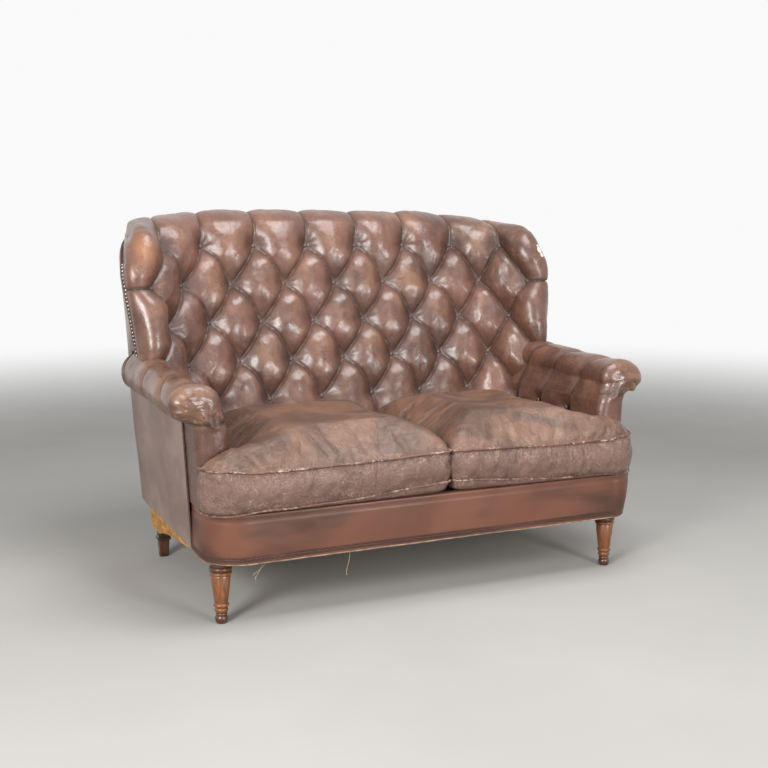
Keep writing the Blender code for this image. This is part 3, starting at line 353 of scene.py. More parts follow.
def tufted_leather(colour, worn):
    """Half-gloss leather with painted shade in the pleats and round the buttons, rubbed to golden tan on what stands
    out, with a painted golden sheen along the top roll and a painted highlight on the left wing.
    """
    n = Nodes("tufted_leather")
    fold, crest, polish = n.painted("fold"), n.painted("crest"), n.painted("polish")
    cloudy = n.noise(4.5, 3, 0.55, 0.6)
    mottled = n.noise(26, 6, 0.68, 0.4)
    streaks = n.noise(1.0, 5, 0.7, 0.8, n.stretched((60, 60, 14)))
    base = n.mix(n.range(cloudy, 0.35, 0.68), shade(colour, 0.60), shade(colour, 1.10))
    base = n.mix(n.range(mottled, 0.45, 0.75, 0.0, 0.50), base, shade(colour, 1.55))
    # rubbed tan on the crest mask: wear on the pillows' highest points, and along the top roll partly wear, partly a
    # painted golden sheen
    rubbed = n.math("MULTIPLY", n.range(n.noise(7.5, 5, 0.62, 0.5), 0.44, 0.70), crest)
    base = n.mix(n.math("MULTIPLY", rubbed, 0.55), base, worn)
    base = n.mix(n.range(streaks, 0.58, 0.78, 0.0, 0.30), base, shade(worn, 1.25))
    # painted highlight: a bright orange patch on the upper pillow of the left wing
    base = n.mix(n.math("MULTIPLY", polish, 0.65), base, (0.330, 0.135, 0.050))
    creases = n.cells(150, "DISTANCE_TO_EDGE", n.stretched((1, 1, 0.55)))
    crazed = n.math("MULTIPLY", n.range(creases, 0.0, 0.055, 1.0, 0.0), n.range(n.noise(11, 3), 0.54, 0.72))
    fine_lines = n.range(n.cells(82, "DISTANCE_TO_EDGE", n.stretched((1, 1, 0.7))), 0.0, 0.060, 1.0, 0.0)
    gilt = n.math("MULTIPLY", n.painted("edge"), n.math("MULTIPLY", fine_lines, n.range(mottled, 0.38, 0.56)))
    crazed = n.math("MAXIMUM", crazed, n.math("MULTIPLY", gilt, 1.6))
    base = n.mix(n.math("MULTIPLY", crazed, 0.42), base, shade(worn, 1.9))
    # painted shade: the fold mask turns the leather near black in the pleats, round the buttons and in the tucks
    base = n.mix(n.math("MULTIPLY", fold, 0.93), base, shade(colour, 0.10))
    for centre, radius in (((0.6760, 0.138, 0.940), 0.0165), ((0.6820, 0.135, 0.923), 0.0140),
                           ((0.6720, 0.142, 0.953), 0.0110)):
        base = n.mix(n.near(centre, radius, 0.0015, 0.012), base, (0.86, 0.85, 0.83))
    rough = n.math("ADD", n.range(mottled, 0.3, 0.75, 0.24, 0.43), n.math("MULTIPLY", fold, 0.35))
    grain = n.cells(620)
    soft = n.noise(52, 5, 0.6, 0.9)
    n.bumps((soft, 0.0022, 0.50), (grain, 0.0005, 0.30), (crazed, 0.0005, 0.5))
    return n.done(base, rough, 0.55, 0.20, 0.18)


def scuffed_leather(colour, worn):
    """Dull seat leather with long scuffs, dark smudges and pale cracks by the seams, and a paler painted sheen on the
    glossy border.
    """
    n = Nodes("scuffed_leather")
    edge, gloss = n.painted("edge"), n.painted("gloss")
    cloudy = n.noise(6.0, 4, 0.6, 1.2)
    smudges = n.noise(9.0, 5, 0.60, 0.6, n.stretched((0.6, 1.3, 1.0)))
    scuffs = n.noise(1.0, 6, 0.75, 0.9, n.stretched((16, 60, 60)))
    base = n.mix(n.range(cloudy, 0.34, 0.66), shade(colour, 0.62), shade(colour, 1.32))
    base = n.mix(n.range(smudges, 0.50, 0.72, 0.0, 0.55), base, shade(colour, 0.40))
    base = n.mix(n.range(scuffs, 0.54, 0.76, 0.0, 0.55), base, worn)
    # painted sheen: the gloss mask lightens the border below the upper seam to a pale pinkish brown
    base = n.mix(n.math("MULTIPLY", gloss, 0.62), base, (0.165, 0.088, 0.070))
    web = n.cells(95, "DISTANCE_TO_EDGE", n.stretched((1.0, 1.2, 0.8)))
    fine_web = n.cells(260, "DISTANCE_TO_EDGE")
    cracked = n.math("MAXIMUM", n.range(web, 0.0, 0.035, 1.0, 0.0), n.range(fine_web, 0.0, 0.05, 0.7, 0.0))
    where = n.math("ADD", n.range(n.noise(9, 4, 0.6), 0.56, 0.74, 0.0, 0.6), n.math("MULTIPLY", edge, 0.9))
    where = n.math("ADD", where, n.math("MULTIPLY", gloss, 0.45))
    where = n.math("MULTIPLY", where, n.range(n.noise(40, 3, 0.6), 0.42, 0.60))
    pale = n.math("MINIMUM", n.math("MULTIPLY", cracked, where), 1.0)
    base = n.mix(n.math("MULTIPLY", pale, 0.75), base, (0.56, 0.40, 0.30))
    rough = n.range(n.math("ADD", gloss, n.math("MULTIPLY", smudges, 0.3)), 0.1, 1.2, 0.46, 0.15)
    wrinkles = n.math("ADD", n.noise(34, 5, 0.62, 1.4), n.math("MULTIPLY", n.noise(60, 6, 0.7, 2.5), gloss))
    n.bumps((wrinkles, 0.0060, 0.80), (n.cells(560), 0.0005, 0.35), (pale, 0.0008, 0.6))
    return n.done(base, rough, 0.55, 0.06, 0.20)


def panel_leather(name, colour, smudge, rough_low, rough_high):
    """Smooth stretched leather for the outside panels and the front border."""
    n = Nodes(name)
    cloudy = n.noise(3.2, 3, 0.55, 0.7)
    marks = n.noise(4.2, 3, 0.50, 0.2, n.stretched((0.7, 1.0, 2.4)))
    specks = n.noise(150, 2, 0.6)
    base = n.mix(n.range(cloudy, 0.35, 0.66), shade(colour, 0.80), shade(colour, 1.14))
    base = n.mix(n.range(marks, 0.46, 0.70, 0.0, 0.80), base, smudge)
    base = n.mix(n.range(specks, 0.70, 0.76, 0.0, 0.35), base, shade(colour, 2.2))
    n.bumps((n.noise(16, 4, 0.55, 0.6), 0.0015, 0.35), (n.cells(640), 0.0004, 0.3))
    return n.done(base, n.range(marks, 0.3, 0.7, rough_low, rough_high), 0.42)


def cracked_piping(colour):
    """Dark piping whose finish has cracked to pale leather."""
    n = Nodes("piping_leather")
    spots = n.noise(120, 5, 0.7)
    base = n.mix(n.range(n.noise(14, 3), 0.4, 0.6), shade(colour, 0.55), shade(colour, 1.2))
    pale = n.math("MULTIPLY", n.range(spots, 0.47, 0.60), n.range(n.noise(11, 3, 0.6), 0.42, 0.60, 0.15, 0.95))
    base = n.mix(pale, base, (0.50, 0.36, 0.28))
    n.bumps((spots, 0.0006, 0.5))
    return n.done(base, n.range(spots, 0.3, 0.7, 0.36, 0.56), 0.42)


def turned_wood(name, colour, dark, low, high):
    """Varnished wood with grain along Z, darker below low and above high."""
    n = Nodes(name)
    rings = n.noise(1.0, 5, 0.62, 1.0, n.stretched((190, 190, 9)))
    cloudy = n.noise(24, 3)
    base = n.mix(n.range(rings, 0.36, 0.68), shade(colour, 0.62), shade(colour, 1.30))
    base = n.mix(n.range(cloudy, 0.50, 0.75, 0.0, 0.5), base, dark)
    z = n.height()
    ends = n.math("MAXIMUM", n.range(z, low - 0.01, low + 0.01, 1.0, 0.0), n.range(z, high - 0.008, high + 0.004))
    base = n.mix(n.math("MULTIPLY", ends, 0.85), base, dark)
    n.bumps((rings, 0.0006, 0.30), (n.noise(120, 3), 0.0004, 0.30))
    return n.done(base, n.range(cloudy, 0.3, 0.7, 0.26, 0.42), 0.5, 0.25, 0.18)


def bare_wood(colour):
    """Unfinished frame wood with grain along Y, stained dark in places."""
    n = Nodes("bare_wood")
    rings = n.noise(1.0, 6, 0.65, 1.4, n.stretched((95, 10, 95)))
    knots = n.noise(15, 5, 0.7, 1.5)
    base = n.mix(n.range(rings, 0.36, 0.68), shade(colour, 0.62), shade(colour, 1.25))
    base = n.mix(n.range(knots, 0.54, 0.70, 0.0, 0.85), base, shade(colour, 0.22))
    n.bumps((rings, 0.0009, 0.5), (n.noise(90, 4, 0.6), 0.0006, 0.5))
    return n.done(base, n.range(knots, 0.3, 0.7, 0.62, 0.8), 0.3)


def woven(name, colour, scale):
    """Plain weave: two crossed sets of threads."""
    n = Nodes(name)
    across = n.add("ShaderNodeTexWave", bands_direction="X")
    along = n.add("ShaderNodeTexWave", bands_direction="Y")
    for wave in (across, along):
        n.link(n.place, wave.inputs["Vector"])
        wave.inputs["Scale"].default_value = scale
        wave.inputs["Distortion"].default_value = 0.6
    threads = n.math("MAXIMUM", across.outputs["Fac"], along.outputs["Fac"])
    base = n.mix(threads, shade(colour, 0.5), shade(colour, 1.2))
    base = n.mix(n.range(n.noise(20, 4), 0.5, 0.7, 0.0, 0.4), base, shade(colour, 0.6))
    n.bumps((threads, 0.0008, 0.7))
    return n.done(base, n.range(threads, 0.0, 1.0, 0.95, 0.85), 0.2)


def raw_edge(colour):
    """The cut, fibrous edge of the hide."""
    n = Nodes("cut_hide")
    fibres = n.noise(140, 5, 0.7)
    base = n.mix(n.range(n.noise(30, 4, 0.6), 0.35, 0.65), shade(colour, 0.55), shade(colour, 1.2))
    n.bumps((fibres, 0.001, 0.8))
    return n.done(base, n.range(fibres, 0.3, 0.7, 0.75, 0.9), 0.2)


def metal(name, colour, rough):
    """Dulled metal with spots of tarnish."""
    n = Nodes(name)
    spots = n.noise(160, 4, 0.6)
    base = n.mix(n.range(spots, 0.45, 0.65), colour, shade(colour, 0.45))
    n.shader.inputs["Metallic"].default_value = 1.0
    n.bumps((spots, 0.0004, 0.3))
    return n.done(base, n.range(spots, 0.3, 0.7, rough, rough + 0.2))


def plain_stain(name, colour, rough):
    """A small dark fitting of leather or thread, with a little unevenness."""
    n = Nodes(name)
    spots = n.noise(220, 3, 0.6)
    base = n.mix(n.range(spots, 0.35, 0.65), shade(colour, 0.7), shade(colour, 1.3))
    n.bumps((spots, 0.0004, 0.4))
    return n.done(base, n.range(spots, 0.3, 0.7, rough, rough + 0.15), 0.4)


# Inside back

WING_EDGE = [(0.0267, 0.020, 0.360), (0.040, 0.120, 0.560), (0.046, 0.165, 0.650), (0.063, 0.162, 0.760),
             (0.0755, 0.180, 0.870), (0.067, 0.228, 0.930), (0.052, 0.290, 0.958), (0.030, 0.345, 0.975)]
TOP_EDGE = [(0.030, 0.345, 0.975), (0.005, 0.402, 0.986), (-0.040, 0.440, 0.994), (-0.117, 0.462, 1.000),
            (-0.277, 0.469, 1.000)]
WING_LINE = smooth_path([(BASE_HALF_WIDTH + out, y, z) for out, y, z in WING_EDGE], 10)
TOP_LINE = smooth_path([(BASE_HALF_WIDTH + out, y, z) for out, y, z in TOP_EDGE], 10)
EDGE_SHARE_AT_FIELD = 0.25
TOP_SWELL = 0.098
CORNER_SWELL_LOSS = 0.42
WING_SWELLS = ((0.62, 0.90), (0.024, 0.054))


def along(line, share):
    """Points at shares of a line's length."""
    lengths = np.linalg.norm(np.diff(line, axis=0), axis=1)
    reach = np.concatenate([[0], np.cumsum(lengths)])
    at = np.clip(share, 0, 1) * reach[-1]
    return np.stack([np.interp(at, reach, line[:, k]) for k in range(3)], axis=-1)


def wing_edge_at(z):
    """The right wing's nailed edge at heights up to its highest point."""
    return np.stack([np.interp(z, WING_LINE[:, 2], WING_LINE[:, k]) for k in range(2)] + [z], axis=-1)


def field(u, z):
    """The surface that the buttons lie on: flat in the middle, turning forward at the wings. Also its heading."""
    turn = np.clip(np.abs(u) - WRAP_START, 0, None) / WRAP_RADIUS
    x = np.minimum(np.abs(u), WRAP_START) + WRAP_RADIUS * np.sin(turn)
    y = LOWEST_ROW_Y + BACK_LEAN * (z - LOWEST_ROW_Z) - WRAP_RADIUS * (1 - np.cos(turn))
    return np.stack(np.broadcast_arrays(np.sign(u) * x, y, z), axis=-1), turn


def bezier(a, b, c, d, t):
    t = np.asarray(t)[..., None]
    return a * (1 - t) ** 3 + b * 3 * t * (1 - t) ** 2 + c * 3 * t ** 2 * (1 - t) + d * t ** 3


def wing_roll(z, t):
    """Right wing, from the outermost buttons round its front to the nailed edge."""
    start, turn = field(np.full_like(z, FIELD_HALF), z)
    end = wing_edge_at(z)
    swell = np.interp(z, *WING_SWELLS)[..., None]
    lead = np.stack([np.cos(turn), -np.sin(turn), 0 * turn], axis=-1) * swell
    return bezier(start, start + lead, end + np.array([0, -1, 0]) * swell, end, t)


def top_roll(u, t):
    """From the highest row of buttons over the top to the rear edge."""
    start, turn = field(u, np.full_like(u, ROW1_Z))
    beyond = np.clip((np.abs(u) - WRAP_START) / (FIELD_HALF - WRAP_START), 0, None)
    end = along(TOP_LINE, 1 - beyond * (1 - EDGE_SHARE_AT_FIELD))
    end[..., 0] = np.where(np.abs(u) <= WRAP_START, np.abs(u), end[..., 0]) * np.sign(u)
    swell = (TOP_SWELL * (1 - CORNER_SWELL_LOSS * beyond))[..., None]
    sway = np.sign(u) * np.sin(turn)
    lead = np.stack([0.35 * sway, -0.30 + 0 * u, 1 + 0 * u], axis=-1)
    tail = np.stack([0.30 * sway, 0.10 + 0 * u, 1 + 0 * u], axis=-1)
    lead = lead / np.linalg.norm(lead, axis=-1, keepdims=True) * swell
    tail = tail / np.linalg.norm(tail, axis=-1, keepdims=True) * swell
    return bezier(start, start + lead, end + tail, end, t)


def wing_corner(p, q):
    """The right top corner between the wing roll (p across) and the top roll (q upward)."""
    ones = np.ones_like(p)
    bottom = wing_roll(ROW1_Z * ones, p)
    left = top_roll(FIELD_HALF * ones, q)
    low = wing_edge_at(np.array([ROW1_Z]))
    rise = np.concatenate([low, WING_LINE[WING_LINE[:, 2] > ROW1_Z]])
    right = along(rise, q)
    top = along(TOP_LINE, EDGE_SHARE_AT_FIELD * (1 - p))
    p, q = p[..., None], q[..., None]
    near, far = field(np.array([FIELD_HALF]), np.array([ROW1_Z]))[0], low
    high_near, high_far = along(TOP_LINE, np.array([EDGE_SHARE_AT_FIELD])), TOP_LINE[:1]
    plane = near * (1 - p) * (1 - q) + far * p * (1 - q) + high_near * (1 - p) * q + high_far * p * q
    return bottom * (1 - q) + top * q + left * (1 - p) + right * p - plane


def back_surface(steps, wing_steps, top_steps, low_steps):
    """Base points of the inside back and their places (u, v) on the leather laid flat."""
    u_in = np.linspace(-FIELD_HALF, FIELD_HALF, 16 * steps + 1)
    z_in = LOWEST_ROW_Z + ROW_PITCH * np.arange(-low_steps, (ROWS - 1) * steps + 1) / steps
    p = np.arange(1, wing_steps + 1) / wing_steps
    q = np.arange(1, top_steps + 1) / top_steps
    zz, uu = np.meshgrid(z_in, u_in, indexing="ij")
    middle = field(uu, zz)[0]
    zz, pp = np.meshgrid(z_in, p, indexing="ij")
    right = wing_roll(zz, pp)
    qq, uu = np.meshgrid(q, u_in, indexing="ij")
    above = top_roll(uu, qq)
    qq, pp = np.meshgrid(q, p, indexing="ij")
    corner = wing_corner(pp, qq)
    mirror = np.array([-1, 1, 1])
    lower = np.concatenate([right[:, ::-1] * mirror, middle, right], axis=1)
    upper = np.concatenate([corner[:, ::-1] * mirror, above, corner], axis=1)
    u_out = FIELD_HALF + WING_REACH * p
    us = np.concatenate([-u_out[::-1], u_in, u_out])
    vs = np.concatenate([z_in * LEATHER_SLOPE, ROW1_Z * LEATHER_SLOPE + TOP_REACH * q])
    flat_v, flat_u = np.meshgrid(vs, us, indexing="ij")
    points = np.concatenate([lower, upper])
    bend = len(z_in) - 1
    for _ in range(60):
        span = points[bend - 12:bend + 13]
        points[bend - 11:bend + 12] = (span[:-2] + 2 * span[1:-1] + span[2:]) / 4
    return points, np.stack([flat_u, flat_v], axis=-1)


def surface_normals(points):
    across = np.gradient(points, axis=1)
    upward = np.gradient(points, axis=0)
    normals = np.cross(across, upward)
    return normals / np.linalg.norm(normals, axis=-1, keepdims=True)


def button_rows():
    """The buttons' places on the flat leather, row by row from the top."""
    rows = []
    for k in range(ROWS):
        most = 3.5 if k % 2 == 0 else 4.0
        v = (ROW1_Z - k * ROW_PITCH) * LEATHER_SLOPE
        rows.append([(c * BUTTON_PITCH, v) for c in np.arange(-most, most + 0.1)])
    return rows


def pleat_lines():
    """The pleats as (from, to, bow, lean): between buttons, over the top, down to the seat and over the wings.

    bow is how far the middle of a pleat lies to the right of the straight line, and lean how much steeper
    its left side is.
    """
    rows = button_rows()
    lines = []
    for upper, lower in zip(rows, rows[1:]):
        for a in upper:
            for b in lower:
                if abs(abs(a[0] - b[0]) - BUTTON_PITCH / 2) < 0.001:
                    falls_right = b[0] > a[0]
                    lines.append((a, b, 0.009 if falls_right else 0.005, 0.015 if falls_right else 0.004))
    lines += [((u, v), (u, v + TOP_REACH), -0.004, 0.006) for u, v in rows[0]]
    lines += [((u, v), (u, v - 0.20), 0.0, 0.0) for u, v in rows[-1]]
    for side in (-1, 1):
        u, v = side * FIELD_HALF, rows[1][0][1]
        lines.append(((u, v), (u + side * WING_REACH, v), 0.0, 0.0))
    return lines


def pleat_field(flat):
    """Distance to the nearest pleat, and how round the pillow is there: 0 in a pleat and 1 away from all."""
    nearest = np.full(flat.shape[:2], 1.0)
    dome = np.ones(flat.shape[:2])
    for a, b, bow, lean in pleat_lines():
        a, b = np.array(a), np.array(b)
        length = np.linalg.norm(b - a)
        way = (b - a) / length
        share = (flat - a) @ way / length
        inside = np.clip(share, 0, 1)
        belly = 4 * inside * (1 - inside)
        across = (flat - a) @ np.array([-way[1], way[0]]) - bow * belly
        distance = np.hypot(across, (share - inside) * length)
        width = 0.046 + lean * belly * np.sign(across)
        dome = np.minimum(dome, np.sqrt(1 - (1 - np.clip(distance / width, 0, 1)) ** 2))
        nearest = np.minimum(nearest, distance)
    return nearest, dome


WING_STEPS = 30


def padded_back(settings):
    """The inside back with its pillows: points, normals, places on the flat leather and what to paint there."""
    base, flat = back_surface(26, WING_STEPS, 46, 26)
    normals = surface_normals(base)
    spots = np.array([spot for row in button_rows() for spot in row])
    reach = flat[:, :, None, :] - spots
    stretched = reach * np.where(reach[..., 1:] > 0, (1.0, 0.72), (1.0, 1.15))
    closeness = np.linalg.norm(stretched, axis=-1)
    which = closeness.argmin(axis=-1)
    to_button = closeness.min(axis=-1)
    offset = np.take_along_axis(reach, which[..., None, None], axis=2)[:, :, 0]
    to_pleat, dome = pleat_field(flat)
    on_wing = np.clip((np.abs(flat[..., 0]) - FIELD_HALF) / WING_REACH, 0, 1)
    on_top = np.clip((flat[..., 1] - ROW1_Z * LEATHER_SLOPE) / TOP_REACH, 0, 1)
    pillow = settings.pillow_height
    edge_share = np.maximum(smoothstep(on_wing, 0, 0.6), smoothstep(on_top, 0, 0.55))
    tall = pillow + (0.018 - pillow) * edge_share
    dip = 1 - np.exp(-(to_button / 0.036) ** 1.35)
    height = tall * dip * (0.42 + 0.58 * dome)
    rim = np.minimum(smoothstep(1 - on_wing, 0.12, 0.46), smoothstep(1 - on_top, 0, 0.25))
    height *= (0.10 + 0.90 * rim) * (1 - 0.75 * smoothstep(on_wing, 0.0, 0.5) * smoothstep(on_top, 0.0, 0.4))
    slit = settings.pleat_depth * np.exp(-(to_pleat / 0.0024) ** 2) * (0.3 + 0.7 * rim)
    height -= slit * smoothstep(to_button, 0.002, 0.02)
    angle = np.arctan2(offset[..., 1], offset[..., 0])
    distance = np.linalg.norm(offset, axis=-1)
    spokes = np.sin(angle * 11 + which * 2.4 + 1.3 * np.sin(angle * 3 + which))
    spokes *= np.exp(-((distance - 0.014) / 0.016) ** 2) * (0.55 + 0.45 * np.cos(angle - 0.2))
    height += 0.0015 * spokes
    sag = rumple(base, 0.085, 1)
    height += (0.0030 * sag + 0.0009 * rumple(base, 0.020, 2)) * rim
    stretch = rumple(base * np.array([1, 1, 0.30]), 0.011, 9) * smoothstep(dome, 0.2, 0.9)
    height += 0.0004 * stretch * rim
    # fold mask of painted shade: thin and dark in each pleat, a dark spot at each button, and a broad soft darkening
    # round the pleats and above the buttons
    fold = np.maximum(np.exp(-to_pleat / 0.0015), 0.85 * np.exp(-(distance / 0.0125) ** 2))
    fold = np.maximum(fold, 0.22 * np.exp(-to_pleat / 0.009) + 0.55 * np.exp(-(to_button / 0.034) ** 2))
    # crest: wear where the pillows stand highest, and a band along the top roll that is partly wear, partly painted
    # golden sheen
    crest = 0.75 * smoothstep(dome * dip, 0.55, 0.95) + 0.9 * np.exp(-((on_top - 0.36) / 0.16) ** 2)
    # painted highlight on the upper pillow of the left wing only
    polished = np.exp(-((flat[..., 1] - 0.975) / 0.038) ** 2) * (flat[..., 0] < 0)
    polished *= np.exp(-((on_wing - 0.26) / 0.14) ** 2)
    paints = {"fold": fold, "crest": np.clip(crest, 0, 1), "polish": polished}
    points = base + normals * height[..., None]
    inside_arm = smoothstep(-points[..., 2], -0.560, -0.525)
    beyond = np.maximum(np.abs(points[..., 0]) - side_outer_x(points[..., 2]) + 0.014, 0) * inside_arm
    points[..., 0] -= np.sign(points[..., 0]) * beyond
    return points, normals, flat, paints


def make_inside_back(settings, finish):
    points, normals, flat, paints = padded_back(settings)
    bm = leather_grid(points)
    rim_edges = [e for e in bm.edges if e.is_boundary]
    grown = bmesh.ops.extrude_edge_only(bm, edges=rim_edges)
    for vert in grown["geom"]:
        if isinstance(vert, bmesh.types.BMVert):
            side = math.copysign(1.0, vert.co.x)
            over_top = vert.co.z > 0.974
            tuck = Vector((-0.10 * side, -0.10, -1.0)) if over_top else Vector((-0.12 * side, 1.0, -0.15))
            vert.co += tuck * 0.050
    obj = add_object("inside_back_leather", bm, finish)
    extra = len(obj.data.vertices) - flat[..., 0].size
    # the tucked-in rim gets a fold value of 0.6: painted shade where the leather runs into the frame
    paint(obj, **{name: np.append(values.ravel(), np.full(extra, 0.6 * (name == "fold")))
                  for name, values in paints.items()})
    seat(obj, "worn_leather", "inside_back")
    return points, normals, flat


def make_back_buttons(points, normals, flat, finish):
    """Leather-covered buttons pulled deep into the back."""
    bm = bmesh.new()
    for row in button_rows():
        for spot in row:
            nearest = np.argmin(np.linalg.norm(flat - np.array(spot), axis=-1))
            j, i = np.unravel_index(nearest, flat.shape[:2])
            if points[j, i, 2] < 0.43:
                continue
            turn = Vector(normals[j, i]).to_track_quat("Z", "Y").to_matrix().to_4x4()
            place = Vector(points[j, i]) + Vector(normals[j, i]) * 0.0012
            stand = Matrix.Translation(place) @ turn @ Matrix.Diagonal((1, 1, 0.55, 1))
            bmesh.ops.create_uvsphere(bm, u_segments=20, v_segments=12, radius=0.0074, matrix=stand)
    obj = add_object("back_buttons", bm, finish)
    # fold 0.6 paints shade on the buttons, which sit down in their dimples
    paint(obj, fold=np.full(len(obj.data.vertices), 0.60), crest=np.full(len(obj.data.vertices), 0.3))
    seat(obj, "worn_leather")


# Wing trim

def make_wing_trim(settings, nail_finish, braid_finish):
    """Bright nails down each wing's edge, a dark double row round the top corner and a braid at the very edge."""
    points, normals, _, _ = padded_back(settings)
    last = points.shape[1] - 1
    for name, edge, inward in (("left", 0, 1), ("right", last, -1)):
        high = points[:, edge, 2] > 0.640
        for k, kind, step, radius, finish, slot in ((1, "braid", 0, 0.0026, braid_finish, "worn_leather"),
                                                    (3, "nails", 0.0112, 0.0036, nail_finish, "spring_steel"),
                                                    (3, "inner_studs", 0.0062, 0.0021, braid_finish, "worn_leather"),
                                                    (2, "outer_studs", 0.0062, 0.0019, braid_finish, "worn_leather")):
            column = edge + inward * k
            line, out = points[high, column], normals[high, column]
            if kind == "braid":
                seat(tube(f"wing_{kind}_{name}", list(line + out * 0.0006), radius, finish), slot)
                continue
            places, _ = spaced(line, step)
            reach = np.linspace(0, 1, len(line))
            length = np.concatenate([[0], np.cumsum(np.linalg.norm(np.diff(line, axis=0), axis=1))])
            at = np.interp(np.linspace(0, length[-1], len(places)), length, reach)
            facing = np.stack([np.interp(at, reach, out[:, axis]) for axis in range(3)], axis=1)
            below = places[:, 2] < 0.905
            keep = below if kind == "nails" else ~below if kind == "inner_studs" else below | ~below
            seat(studs(f"wing_{kind}_{name}", (places + facing * 0.0012)[keep], facing[keep], radius, 0.6, finish), slot)


# Arms

ARM_PLEATS = [
    {"inside": 0.105, "top": 0.030, "outside": -0.030},
    {"inside": -0.040, "top": -0.130, "outside": -0.245},
    {"inside": -0.200, "top": -0.270, "outside": -0.345},
    {"inside": 0.330, "top": 0.270, "outside": 0.215},
]
ARM_BUTTON_Z = 0.458


def arm_section(t):
    """Half outline of the arm seen from the front: from the seat up the inside, over the roll, down the outside.

    t runs from 0 to 1. Returns x, z and the line (x, z) that the outline closes on at the front.
    """
    inner = ARM_LOW.x + 0.006
    rise = np.array([[inner, 0.2985], [inner - 0.004, 0.380], [inner - 0.003, 0.450], [inner + 0.004, 0.500]])
    turn = np.radians(np.linspace(196, -62, 33))
    roll = np.stack([ROLL_X + ROLL_HALF_WIDTH * np.cos(turn), ROLL_Z + ROLL_HALF_HEIGHT * np.sin(turn)], axis=1)
    tuck = np.array([[side_outer_x(0.515) + 0.002, 0.5175]])
    outer = np.array([[side_outer_x(0.50) - 0.001, 0.500], [side_outer_x(0.2985) - 0.001, 0.2985]])
    line = np.concatenate([rise, roll, tuck, outer])
    line = np.concatenate([line, np.zeros((len(line), 1))], axis=1)
    at = along(line, t)
    x, z = at[..., 0], at[..., 1]
    in_roll = smoothstep(z, 0.505, 0.545)
    spine_x = 0.606 + (ROLL_X - 0.606) * in_roll
    spine_z = np.where(z > 0.52, ROLL_Z, z) * in_roll + z * (1 - in_roll)
    return x, z, spine_x, spine_z


def pleat_place(pleat, t, marks):
    """Where along the arm a pleat lies, for each place t round the section."""
    start, button, top, outside, end = marks
    knots = [0.0, button, (button + top) / 2, top, outside, end, 1.0]
    middle = (pleat["inside"] * 0.55 + pleat["top"] * 0.45)
    ys = [pleat["inside"], pleat["inside"], middle, pleat["top"], pleat["outside"], pleat["outside"] - 0.012,
          pleat["outside"] - 0.012]
    return np.interp(t, knots, ys)


